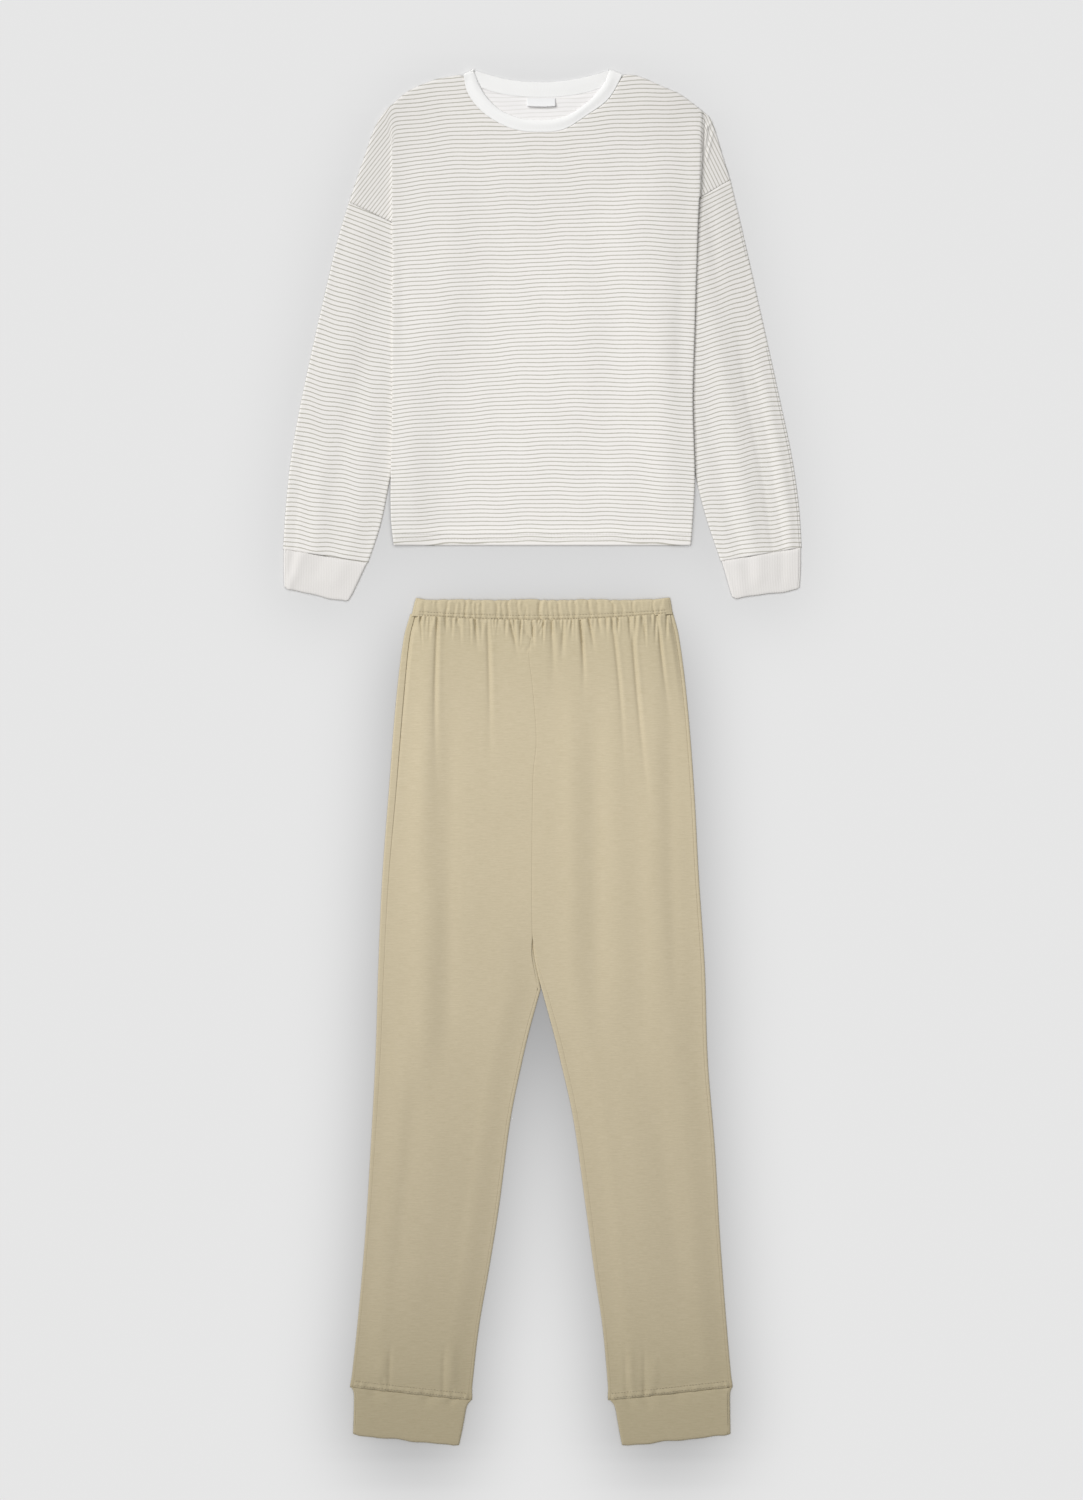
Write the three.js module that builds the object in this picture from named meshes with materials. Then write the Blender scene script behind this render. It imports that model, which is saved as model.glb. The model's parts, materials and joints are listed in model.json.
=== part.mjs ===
// A two-piece pyjama set laid out flat: a striped long-sleeved crew-neck top above plain trousers
// with a gathered waistband and cuffed ankles. Millimetres, +Z up from the surface it lies on,
// +Y towards the neck. The front faces up, so +X is the wearer's left.
// Each piece that a maker cuts is one wall of cloth. The front of a garment lies on its back.
import * as THREE from "three";

// Cloth
const JERSEY = 1.3; // thickness of the top's striped jersey
const TROUSER_JERSEY = 1.2;
const RIB = 2.0; // thickness of the neckband and cuffs, which are folded double
const CASING = 2.4; // thickness of the waistband: elastic between two layers
const SEAM = 0.3; // between pieces that are sewn together, and between the front and the back
const HEM = { down: 598, depth: 20, fold: 0.9 }; // the fold is how far a turned-up hem stands proud

// Places of the two garments' highest points above the middle of the set
const TOP_AT = 862.8;
const TROUSERS_AT = 201.8;

// The top: across is measured from the middle, and down from the high point of the shoulder.
const SHOULDER_RIGHT = [
  { across: -187, down: 47 },
  { across: -171, down: 33 },
  { across: -152, down: 23 },
  { across: -130, down: 15 },
  { across: -98, down: 9 },
];
const SHOULDER_LEFT = [
  { across: 100, down: 9 },
  { across: 122, down: 12 },
  { across: 152, down: 25 },
  { across: 174, down: 35 },
  { across: 202, down: 56 },
];
const NECK_SEAM_FRONT = [
  { across: -98, down: 9 },
  { across: -92, down: 34 },
  { across: -71, down: 59 },
  { across: -38, down: 77 },
  { across: -4, down: 81.5 },
  { across: 27, down: 78 },
  { across: 55, down: 61 },
  { across: 83, down: 40 },
  { across: 100, down: 9 },
];
const NECK_EDGE_FRONT = [
  { across: -85, down: 2.5 },
  { across: -74, down: 30 },
  { across: -54, down: 52 },
  { across: -28, down: 63.5 },
  { across: 0, down: 66 },
  { across: 29, down: 61.5 },
  { across: 57, down: 43.5 },
  { across: 78, down: 20 },
  { across: 84, down: 2.5 },
];
const NECK_SEAM_BACK = [
  { across: -98, down: 9 },
  { across: -84, down: 22 },
  { across: -48, down: 34 },
  { across: -2, down: 38 },
  { across: 46, down: 34 },
  { across: 84, down: 22 },
  { across: 100, down: 9 },
];
const NECK_EDGE_BACK = [
  { across: -85, down: 2.5 },
  { across: -72, down: 8 },
  { across: -40, down: 16 },
  { across: -2, down: 19 },
  { across: 38, down: 16 },
  { across: 72, down: 8 },
  { across: 84, down: 2.5 },
];
const BODY_SIDES = [
  { down: 164, right: -187, left: 196.5 },
  { down: 195, right: -187, left: 195 },
  { down: 240, right: -186.5, left: 193.5 },
  { down: 340, right: -187, left: 190.5 },
  { down: 420, right: -187, left: 188.5 },
  { down: 515, right: -189, left: 191 },
  { down: 565, right: -188.5, left: 188.5 },
  { down: 598, right: -185, left: 186 },
];
// The dropped shoulder lies outside the body's side crease, which runs from pivot to underarm.
const DROP_RIGHT = {
  pivot: { across: -187, down: 47 },
  underarm: { across: -187, down: 195 },
  edge: [
    { across: -187, down: 47 },
    { across: -196, down: 55 },
    { across: -208, down: 74 },
    { across: -219, down: 104 },
    { across: -231, down: 139 },
    { across: -241, down: 169 },
  ],
};
const DROP_LEFT = {
  pivot: { across: 202, down: 56 },
  underarm: { across: 196.5, down: 164 },
  edge: [
    { across: 202, down: 56 },
    { across: 210, down: 64 },
    { across: 217, down: 81 },
    { across: 225, down: 108 },
    { across: 231, down: 127 },
    { across: 235.5, down: 141 },
  ],
};
// Each sleeve hangs down beside the body, and the part towards its inner edge lies under it.
const SLEEVE_RIGHT = [
  { outX: -241, outY: 169.6, inX: -131, inY: 223.6 },
  { outX: -255, outY: 216, inX: -139, inY: 262 },
  { outX: -273, outY: 291, inX: -151, inY: 325 },
  { outX: -291, outY: 371, inX: -165, inY: 394 },
  { outX: -306, outY: 444, inX: -178, inY: 460 },
  { outX: -315, outY: 500, inX: -190, inY: 516 },
  { outX: -320.5, outY: 556, inX: -201, inY: 570 },
  { outX: -323.5, outY: 602, inX: -217, inY: 619 },
];
const SLEEVE_LEFT = [
  { outX: 235.5, outY: 141.6, inX: 133, inY: 203.6 },
  { outX: 247, outY: 190, inX: 143, inY: 248 },
  { outX: 262.5, outY: 258, inX: 153, inY: 310 },
  { outX: 282.5, outY: 348, inX: 169, inY: 385 },
  { outX: 300, outY: 428, inX: 182.5, inY: 455 },
  { outX: 312.5, outY: 488, inX: 191.5, inY: 509 },
  { outX: 321, outY: 548, inX: 205, inY: 562 },
  { outX: 324.5, outY: 600, inX: 223.5, inY: 617 },
];
const CUFF_RIGHT = [
  { outX: -322.5, outY: 602.4, inX: -218, inY: 619.4 },
  { outX: -322.5, outY: 627, inX: -229, inY: 643 },
  { outX: -322, outY: 652, inX: -241, inY: 669 },
];
const CUFF_LEFT = [
  { outX: 323.5, outY: 600.4, inX: 224.5, inY: 617.4 },
  { outX: 323.5, outY: 627, inX: 231.5, inY: 641 },
  { outX: 322, outY: 653, inX: 238, inY: 665 },
];
// A fold's place is a share of the way in from the outer edge, and its ends are shares of the way down.
const SLEEVE_FOLDS_RIGHT = [
  { at: 0.3, from: 0.5, to: 1.1, lean: 0.1, height: 1.4, width: 0.1 },
  { at: 0.22, from: -0.1, to: 0.6, lean: 0.12, height: 0.9, width: 0.12 },
];
const SLEEVE_FOLDS_LEFT = [
  { at: 0.5, from: 0.2, to: 1.15, lean: 0.08, height: 1.7, width: 0.11 },
  { at: 0.08, from: 0.35, to: 1.15, lean: 0.04, height: 1.5, width: 0.09 },
];
const NECK_MIDDLE_DOWN = 8;
const NECK_STEPS = 16;
const SHOULDER_STEPS = 4;
const UPPER_SHARES = [0, 0.08, 0.18, 0.3, 0.43, 0.57, 0.71, 0.85, 1]; // rows above the underarms
const LOWER_ROWS = 7;
const LABEL_SIZE = { across: 36, down: 10, thick: 1, middle: -1 };
const RISE_MARGIN = 14; // how far past a sleeve's inner edge the body stays at full height
const RISE_RUN = 18; // the length over which the body then comes down
const CREASE_RUN = 5; // the width of the step down outside the body's side crease
const BODY_CROWN = 1.4; // air under the middle of the front
const BODY_SOFT = { fromSide: 45, fromHem: 60, chestFrom: 60, chestTo: 160, foldsFromSide: 12 };
const NECKBAND_CROWN = 0.4;
const CUFF_CROWN = 0.5;
const BODY_FOLDS = [
  { x: -168, from: 330, to: 620, lean: 8, height: 1.1, width: 16 },
  { x: -104, from: 100, to: 400, lean: -20, height: 0.8, width: 22 },
  { x: 40, from: 190, to: 470, lean: 22, height: 0.8, width: 30 },
  { x: 150, from: 240, to: 590, lean: 8, height: 1.1, width: 18 },
];

// The trousers: out is measured from the middle towards the leg, and down from the waist's edge.
const LEG_RIGHT = {
  sign: -1,
  outside: [
    { down: 22, out: 164.5, seam: 6 },
    { down: 52, out: 172.5, seam: 7 },
    { down: 128, out: 182, seam: 9 },
    { down: 240, out: 191, seam: 9 },
    { down: 352, out: 199.5, seam: 8 },
    { down: 465, out: 204.5, seam: 7 },
    { down: 578, out: 208, seam: 6 },
    { down: 690, out: 214, seam: 5 },
    { down: 802, out: 221, seam: 4 },
    { down: 915, out: 231, seam: 3.5 },
    { down: 988, out: 239, seam: 3.5 },
  ],
  inside: [
    { down: 491, out: 1.5, seam: 3.5 },
    { down: 540, out: 15, seam: 4 },
    { down: 578, out: 24, seam: 4 },
    { down: 652, out: 39, seam: 4 },
    { down: 765, out: 54, seam: 4 },
    { down: 840, out: 66, seam: 3.5 },
    { down: 915, out: 79, seam: 3.5 },
    { down: 1004, out: 89, seam: 3.5 },
  ],
};
const LEG_LEFT = {
  sign: 1,
  outside: [
    { down: 22, out: 163.5, seam: 4 },
    { down: 52, out: 171, seam: 4 },
    { down: 128, out: 181, seam: 4 },
    { down: 240, out: 190, seam: 4 },
    { down: 352, out: 196, seam: 4 },
    { down: 465, out: 203.5, seam: 4 },
    { down: 578, out: 207, seam: 4 },
    { down: 690, out: 216, seam: 3.5 },
    { down: 802, out: 222.5, seam: 3.5 },
    { down: 915, out: 231, seam: 3.5 },
    { down: 988, out: 237.5, seam: 3.5 },
  ],
  inside: [
    { down: 491, out: -0.5, seam: 6 },
    { down: 540, out: 13, seam: 6.5 },
    { down: 578, out: 22.5, seam: 6.5 },
    { down: 652, out: 39, seam: 6 },
    { down: 765, out: 55, seam: 6 },
    { down: 840, out: 65, seam: 5 },
    { down: 915, out: 76, seam: 4 },
    { down: 1004, out: 84, seam: 3.5 },
  ],
};
const CENTRE_SEAM = [
  { down: 20, across: -9 },
  { down: 65, across: -16 },
  { down: 108, across: -12 },
  { down: 180, across: -7 },
  { down: 225, across: -11 },
  { down: 352, across: -12.5 },
  { down: 425, across: -12 },
  { down: 455, across: -9 },
  { down: 491, across: -1 },
];
const FORK = { down: 425, run: 22, seam: 2.8 }; // where the inseams begin, and their first width
const CROTCH_DOWN = 491;
const ANKLE = { down: 988, drop: 16, from: 840 }; // the seam is lower on the inside by its drop
const LEG_CROWN = 1.8; // air under the middle of a leg's front
const LEG_SOFT = { edge: 0.22, waistEdge: 0.08, foldEdge: 0.06, pastAnkle: 12, fromAnkle: 40 };
const LEG_COLUMNS = { gathers: 37, leg: 11, ankle: 20 };
const WAIST_PUFF = { height: 1.4, down: 150 }; // more air under the gathers
const ANKLE_CUFF_RIGHT = [
  { outX: -237, outY: 988.5, inX: -90, inY: 1004.5 },
  { outX: -237, outY: 1018, inX: -96.5, inY: 1034 },
  { outX: -236.5, outY: 1048, inX: -103.5, inY: 1062 },
];
const ANKLE_CUFF_LEFT = [
  { outX: 236.5, outY: 988.5, inX: 86.5, inY: 1004.5 },
  { outX: 236.5, outY: 1018, inX: 93.5, inY: 1034 },
  { outX: 236, outY: 1048, inX: 100, inY: 1062 },
];
const WAISTBAND = {
  top: { outX: -157.5, outY: 0, inX: 160, inY: 0 },
  bottom: { outX: -163, outY: 24, inX: 163.5, inY: 21.5 },
  sag: 8, // how much lower the middle of its lower edge is
  crown: 1.2,
  pleatWidth: 3.4,
};
const WAISTBAND_PLEATS = [
  { x: -146, depth: 0.6 },
  { x: -131, depth: 0.7 },
  { x: -115, depth: 1.0 },
  { x: -105, depth: 0.9 },
  { x: -96, depth: 1.0 },
  { x: -85, depth: 1.0 },
  { x: -77.5, depth: 0.8 },
  { x: -57.5, depth: 1.1 },
  { x: -49, depth: 0.9 },
  { x: -40, depth: 1.0 },
  { x: -31, depth: 0.9 },
  { x: -22, depth: 0.8 },
  { x: -4, depth: 1.2 },
  { x: 7.5, depth: 0.9 },
  { x: 20, depth: 1.0 },
  { x: 34, depth: 0.9 },
  { x: 43, depth: 0.8 },
  { x: 59, depth: 1.1 },
  { x: 70, depth: 0.9 },
  { x: 87.5, depth: 1.1 },
  { x: 96, depth: 0.8 },
  { x: 104, depth: 1.0 },
  { x: 115, depth: 0.9 },
  { x: 139, depth: 0.8 },
];
// The waistband's fullness falls in folds, and the valleys between them run on down the front.
const GATHERS = [
  { x: -156, lean: -3, length: 34, depth: 1.3, width: 4.5 },
  { x: -144, lean: -2, length: 26, depth: 0.9, width: 4.5 },
  { x: -131, lean: 4, length: 290, depth: 1.9, width: 7 },
  { x: -119, lean: 2, length: 30, depth: 1.3, width: 4.5 },
  { x: -105, lean: 2, length: 26, depth: 1.1, width: 4.5 },
  { x: -82, lean: 3, length: 52, depth: 1.6, width: 5 },
  { x: -69, lean: 3, length: 240, depth: 1.8, width: 7 },
  { x: -55, lean: 4, length: 28, depth: 1.0, width: 4.5 },
  { x: -44, lean: 14, length: 62, depth: 1.5, width: 5 },
  { x: -27, lean: 12, length: 24, depth: 1.5, width: 4.5 },
  { x: 3, lean: -11, length: 26, depth: 1.2, width: 4.5 },
  { x: 11, lean: 2, length: 95, depth: 1.0, width: 7 },
  { x: 27, lean: -12, length: 80, depth: 1.3, width: 6 },
  { x: 37, lean: -2, length: 34, depth: 1.1, width: 4.5 },
  { x: 47, lean: 5, length: 110, depth: 2.0, width: 5.5 },
  { x: 57, lean: 2, length: 30, depth: 1.2, width: 4.5 },
  { x: 70, lean: 4, length: 40, depth: 1.2, width: 5 },
  { x: 88, lean: 22, length: 260, depth: 1.8, width: 7 },
  { x: 111, lean: 34, length: 330, depth: 1.9, width: 7 },
  { x: 125, lean: 5, length: 34, depth: 1.2, width: 4.5 },
  { x: 145, lean: 20, length: 165, depth: 1.7, width: 6 },
];
const LEG_FOLDS = [
  { x: -135, from: 300, to: 620, lean: -6, height: 1.1, width: 14 },
  { x: -110, from: 520, to: 980, lean: -62, height: 0.9, width: 20 },
  { x: -198, from: 940, to: 1010, lean: -4, height: 0.9, width: 6 },
  { x: -112, from: 930, to: 1020, lean: -2, height: 1.0, width: 6 },
  { x: 150, from: 340, to: 640, lean: 14, height: 1.1, width: 14 },
  { x: 96, from: 520, to: 980, lean: 52, height: 0.9, width: 20 },
  { x: 110, from: 930, to: 1020, lean: 2, height: 1.0, width: 6 },
  { x: 140, from: 945, to: 1010, lean: 0, height: 0.8, width: 6 },
];

const STRIPED = new THREE.MeshStandardMaterial({ color: 0xebe8e1, roughness: 0.92, metalness: 0 });
const RIBBED = new THREE.MeshStandardMaterial({ color: 0xefece8, roughness: 0.94, metalness: 0 });
const KHAKI = new THREE.MeshStandardMaterial({ color: 0xc8bb9e, roughness: 0.9, metalness: 0 });
const WOVEN = new THREE.MeshStandardMaterial({ color: 0xf2f2f0, roughness: 0.6, metalness: 0 });

const { lerp, smoothstep: ease } = THREE.MathUtils;
const TURN_ANGLES = [60, 0, -60]; // where a folded edge has its points, in degrees above the middle
const pressedFlat = (thickness) => 2 * thickness + SEAM;

// Which row of a table comes before a place in one of its columns, and how far past it that is.
function findRow(table, by, place) {
  let i = 0;
  while (i < table.length - 2 && place > table[i + 1][by]) i += 1;
  const run = table[i + 1][by] - table[i][by];
  return { i, run, share: THREE.MathUtils.clamp((place - table[i][by]) / run, 0, 1) };
}

// A column's value at a place, in straight lines between the rows.
function straight(table, by, column, place) {
  const { i, share } = findRow(table, by, place);
  return lerp(table[i][column], table[i + 1][column], share);
}

// A column's value at a place, on a smooth curve through the rows.
function curve(table, by, column, place) {
  const { i, run, share } = findRow(table, by, place);
  const slope = (row) => {
    const before = table[Math.max(row - 1, 0)];
    const after = table[Math.min(row + 1, table.length - 1)];
    return (after[column] - before[column]) / (after[by] - before[by]);
  };
  const left = 1 - share;
  const blend = lerp(table[i][column], table[i + 1][column], share * share * (3 - 2 * share));
  return blend + run * share * left * (slope(i) * left - slope(i + 1) * share);
}

// A point on the curve through a table's rows, a share of the way from its first to its last row.
function along(table, share, columns) {
  const rows = table.map((row, i) => ({ ...row, share: i / (table.length - 1) }));
  return Object.fromEntries(columns.map((name) => [name, curve(rows, "share", name, share)]));
}

// A point on a neck table's curve. Its two ends leave room for the band to turn over the shoulder.
function neckPlace(table, share) {
  const { across, down } = along(table, share, ["across", "down"]);
  const turn = (pressedFlat(RIB) / 2) * (1 - ease(Math.min(share, 1 - share), 0, 0.12));
  return { across, down: down + turn };
}

// The same point on the edge of the panel that the neckband is sewn to
function besideNeckband(table, share) {
  const { across, down } = neckPlace(table, share);
  const reach = Math.hypot(across, down - NECK_MIDDLE_DOWN);
  const grow = 1 + (1.5 * SEAM) / reach;
  return { across: across * grow, down: NECK_MIDDLE_DOWN + (down - NECK_MIDDLE_DOWN) * grow };
}

// What a table of long soft folds adds at a place. Each fades out towards its ends.
function foldHeight(folds, x, down) {
  let height = 0;
  for (const fold of folds) {
    const share = (down - fold.from) / (fold.to - fold.from);
    if (share <= 0 || share >= 1) continue;
    const off = (x - fold.x - fold.lean * share) / fold.width;
    height += fold.height * Math.exp(-off * off) * ease(Math.min(share, 1 - share), 0, 0.3);
  }
  return height;
}

const evenly = (count) => Array.from({ length: count + 1 }, (_, i) => i / count);
const numbered = (row) => row.map((point, i) => ({ ...point, u: i / Math.max(row.length - 1, 1) }));

// A point of cloth at a place on a garment, under its upper face's height.
function clothPoint(at, x, down, top, thickness) {
  return {
    outer: new THREE.Vector3(x, at - down, top),
    inner: new THREE.Vector3(x, at - down, top - thickness),
  };
}

// Triangles between two neighbouring rows, which may hold different numbers of points.
function zip(upper, lower) {
  const faces = [];
  let i = 0;
  let j = 0;
  while (i < upper.length - 1 || j < lower.length - 1) {
    const lowerDone = j === lower.length - 1;
    const upperFirst = i < upper.length - 1 && (lowerDone || upper[i + 1].u <= lower[j + 1].u);
    if (upperFirst) {
      faces.push([upper[i], lower[j], upper[i + 1]]);
      i += 1;
    } else {
      faces.push([upper[i], lower[j], lower[j + 1]]);
      j += 1;
    }
  }
  return faces;
}

// Triangles over rows of cloth points, which run the same way.
function facesOver(rows) {
  const numberedRows = rows.map(numbered);
  return numberedRows.slice(1).flatMap((row, i) => zip(numberedRows[i], row));
}

// A closed wall of cloth: its outer face, its inner face, and the rims between them.
function wall(faces) {
  const points = [];
  const indexOf = new Map();
  const index = (point) => {
    const key = point.outer.toArray().map((value) => value.toFixed(3)).join();
    if (!indexOf.has(key)) {
      indexOf.set(key, points.length);
      points.push(point);
    }
    return indexOf.get(key);
  };
  const outside = faces.map((face) => face.map(index)).filter((face) => new Set(face).size === 3);
  const edges = new Map();
  for (const face of outside) {
    face.forEach((a, k) => edges.set(a + ":" + face[(k + 1) % 3], [a, face[(k + 1) % 3]]));
  }
  const n = points.length;
  const all = outside.flatMap(([a, b, c]) => [a, b, c, c + n, b + n, a + n]);
  for (const [a, b] of edges.values()) {
    if (!edges.has(b + ":" + a)) all.push(b, a, a + n, b, a + n, b + n);
  }
  const places = [...points.map((point) => point.outer), ...points.map((point) => point.inner)];
  let volume = 0;
  for (let i = 0; i < all.length; i += 3) {
    const [a, b, c] = [places[all[i]], places[all[i + 1]], places[all[i + 2]]];
    volume += a.dot(new THREE.Vector3().crossVectors(b, c));
  }
  const geometry = new THREE.BufferGeometry().setFromPoints(places);
  geometry.setIndex(volume > 0 ? all : all.reverse());
  geometry.computeVertexNormals();
  return geometry;
}

// Rings worked out from a table's rows, with more between them.
function ringsBetween(table, count) {
  const columns = ["outX", "outY", "inX", "inY"];
  return evenly(count).map((share) => ({ share, ...along(table, share, columns) }));
}

// A sleeve, cuff or band pressed flat: rings from the top to the bottom edge. Each ring crosses
// the upper layer, turns round the folded edge and comes back along the surface.
function flatTube({ at, rings, thickness, height, across, under, lift, bow = () => 0 }) {
  const half = height / 2;
  const turns = TURN_ANGLES.map(THREE.MathUtils.degToRad);
  const rows = rings.map((ring) => {
    const first = new THREE.Vector2(ring.outX, ring.outY);
    const last = new THREE.Vector2(ring.inX, ring.inY);
    const way = last.clone().sub(first).normalize();
    first.addScaledVector(way, half);
    last.addScaledVector(way, -half);
    const place = (on, off, z) =>
      new THREE.Vector3(on.x + way.x * off, at - on.y - way.y * off, z);
    const middle = (share) => {
      const on = first.clone().lerp(last, share);
      on.y += bow(share, ring);
      return on;
    };
    const turn = (from, side) => (angle) => ({
      outer: place(from, side * half * Math.cos(angle), half + half * Math.sin(angle)),
      inner: place(
        from,
        side * (half - thickness) * Math.cos(angle),
        half + (half - thickness) * Math.sin(angle),
      ),
    });
    const row = evenly(across).map((share) => {
      const top = height + lift(share, ring);
      return { outer: place(middle(share), 0, top), inner: place(middle(share), 0, top - thickness) };
    });
    row.push(...turns.map(turn(last, 1)));
    for (const share of evenly(under).reverse()) {
      row.push({ outer: place(middle(share), 0, 0), inner: place(middle(share), 0, thickness) });
    }
    row.push(...turns.toReversed().map(turn(first, -1)), row[0]);
    return row;
  });
  return wall(facesOver(rows));
}

// How much a fold's table lifts a tube, fading to nothing at its folded edges.
function tubeFolds(folds) {
  return (share, ring) => {
    let height = 0;
    for (const fold of folds) {
      const way = (ring.share - fold.from) / (fold.to - fold.from);
      if (way <= 0 || way >= 1) continue;
      const off = (share - fold.at - fold.lean * way) / fold.width;
      height += fold.height * Math.exp(-off * off) * ease(Math.min(way, 1 - way), 0, 0.3);
    }
    return height * ease(Math.min(share, 1 - share), 0, 0.12);
  };
}

// The body lies on the sleeves at its sides. Its height there comes down past their inner edges,
// and up to the crease where the dropped shoulder turns under.
function riseOnSleeve(x, down) {
  const [sign, drop, sleeve] = x < 0 ? [-1, DROP_RIGHT, SLEEVE_RIGHT] : [1, DROP_LEFT, SLEEVE_LEFT];
  const hidden = sleeve.map((ring) => ({ across: ring.inX, down: ring.inY }));
  const inner = straight([drop.pivot, ...hidden], "down", "across", down);
  const past = ease(sign * (x - inner), -RISE_MARGIN - RISE_RUN, -RISE_MARGIN);
  const { underarm } = drop;
  const tilt = (hidden[0].down - underarm.down) / (hidden[0].across - underarm.across);
  const mouth = underarm.down + tilt * (x - underarm.across);
  const rise = pressedFlat(JERSEY) + 2 * SEAM;
  return rise * past * ease(down, drop.pivot.down, mouth - RISE_MARGIN);
}

// The rows of the top's front or back, from the shoulders and neck seam to the hem.
function bodyRows(neckSeam, top) {
  const shoulder = (table) =>
    evenly(SHOULDER_STEPS).map((share) => along(table, share, ["across", "down"]));
  const edge = [
    ...shoulder(SHOULDER_RIGHT).slice(0, -1),
    ...evenly(NECK_STEPS).map((share) => besideNeckband(neckSeam, share)),
    ...shoulder(SHOULDER_LEFT).slice(1),
  ];
  const count = edge.length - 1;
  const spread = (i) => lerp(i / count, 0.5 - 0.5 * Math.cos((Math.PI * i) / count), 0.4);
  const { underarm: right } = DROP_RIGHT;
  const { underarm: left } = DROP_LEFT;
  const underarmDown = (share) => lerp(right.down, left.down, share);
  const upper = UPPER_SHARES.map((share) =>
    edge.map((start, i) => {
      const x = lerp(start.across, lerp(right.across, left.across, spread(i)), share);
      return top(x, lerp(start.down, underarmDown(spread(i)), share));
    }),
  );
  const lower = evenly(LOWER_ROWS).slice(1).map((share) =>
    edge.map((_, i) => {
      const down = lerp(underarmDown(spread(i)), HEM.down - HEM.depth, share);
      const side = (name) => curve(BODY_SIDES, "down", name, down);
      return top(lerp(side("right"), side("left"), spread(i)), down);
    }),
  );
  const hem = [0.06, 1].map((share) =>
    edge.map((_, i) => {
      const down = HEM.down - HEM.depth * (1 - share);
      const side = (name) => curve(BODY_SIDES, "down", name, down);
      return top(lerp(side("right"), side("left"), spread(i)), down, true);
    }),
  );
  return { upper, all: [...upper, ...lower, ...hem] };
}

// The dropped shoulder's rows: from its outer edge to the points that the body has on the crease.
function dropRows(drop, creasePoints, level, thickness) {
  return creasePoints.map((crease, i) => {
    if (i === 0) return [crease];
    const share = i / (creasePoints.length - 1);
    const edge = along(drop.edge, share, ["across", "down"]);
    const from = { x: crease.outer.x, down: TOP_AT - crease.outer.y, rise: crease.outer.z - level };
    const width = Math.abs(edge.across - from.x);
    const foot = Math.min(CREASE_RUN / width, 0.5);
    const points = [1, (1 + foot) / 2, foot, 0.5 * foot].map((out) => {
      const step = 1 - ease(out, 0, foot);
      const x = lerp(from.x, edge.across, out);
      const down = lerp(from.down, edge.down, out);
      return clothPoint(TOP_AT, x, down, level + from.rise * step, thickness);
    });
    return [...points, crease];
  });
}

// The top's front or back with its two dropped shoulders, in one piece.
function bodyPanel(neckSeam, top, level) {
  const { upper, all } = bodyRows(neckSeam, top);
  const rightCrease = upper.map((row) => row[0]);
  const leftCrease = upper.map((row) => row[row.length - 1]);
  return wall([
    ...facesOver(all),
    ...facesOver(dropRows(DROP_RIGHT, rightCrease, level, JERSEY)),
    ...facesOver(dropRows(DROP_LEFT, leftCrease, level, JERSEY).map((row) => row.toReversed())),
  ]);
}

const BODY_TOP_LEVEL = 2 * JERSEY + SEAM;

function topFront() {
  const top = (x, down, inHem = false) => {
    const side = Math.min(x - curve(BODY_SIDES, "down", "right", down),
      curve(BODY_SIDES, "down", "left", down) - x);
    const { fromSide, fromHem, chestFrom, chestTo, foldsFromSide } = BODY_SOFT;
    const ends = ease(HEM.down - down, 0, fromHem) * ease(down, chestFrom, chestTo);
    const air = BODY_CROWN * ease(side, 0, fromSide) * ends;
    const puff = air + foldHeight(BODY_FOLDS, x, down) * ease(side, 0, foldsFromSide);
    const hem = inHem ? HEM.fold : 0;
    const height = BODY_TOP_LEVEL + riseOnSleeve(x, down) + puff + hem;
    return clothPoint(TOP_AT, x, down, height, JERSEY + hem);
  };
  return bodyPanel(NECK_SEAM_FRONT, top, BODY_TOP_LEVEL);
}

function topBack() {
  const top = (x, down) => clothPoint(TOP_AT, x, down, JERSEY + riseOnSleeve(x, down), JERSEY);
  return bodyPanel(NECK_SEAM_BACK, top, JERSEY);
}

function sleeve(table, folds) {
  return flatTube({
    at: TOP_AT,
    rings: ringsBetween(table, 10),
    thickness: JERSEY,
    height: pressedFlat(JERSEY),
    across: 9,
    under: 3,
    lift: tubeFolds(folds),
  });
}

function cuff(table, at, across) {
  return flatTube({
    at,
    rings: ringsBetween(table, 3),
    thickness: RIB,
    height: pressedFlat(RIB),
    across,
    under: 2,
    lift: (share, ring) => CUFF_CROWN * Math.sin(Math.PI * share) * Math.sin(Math.PI * ring.share),
  });
}

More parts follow.
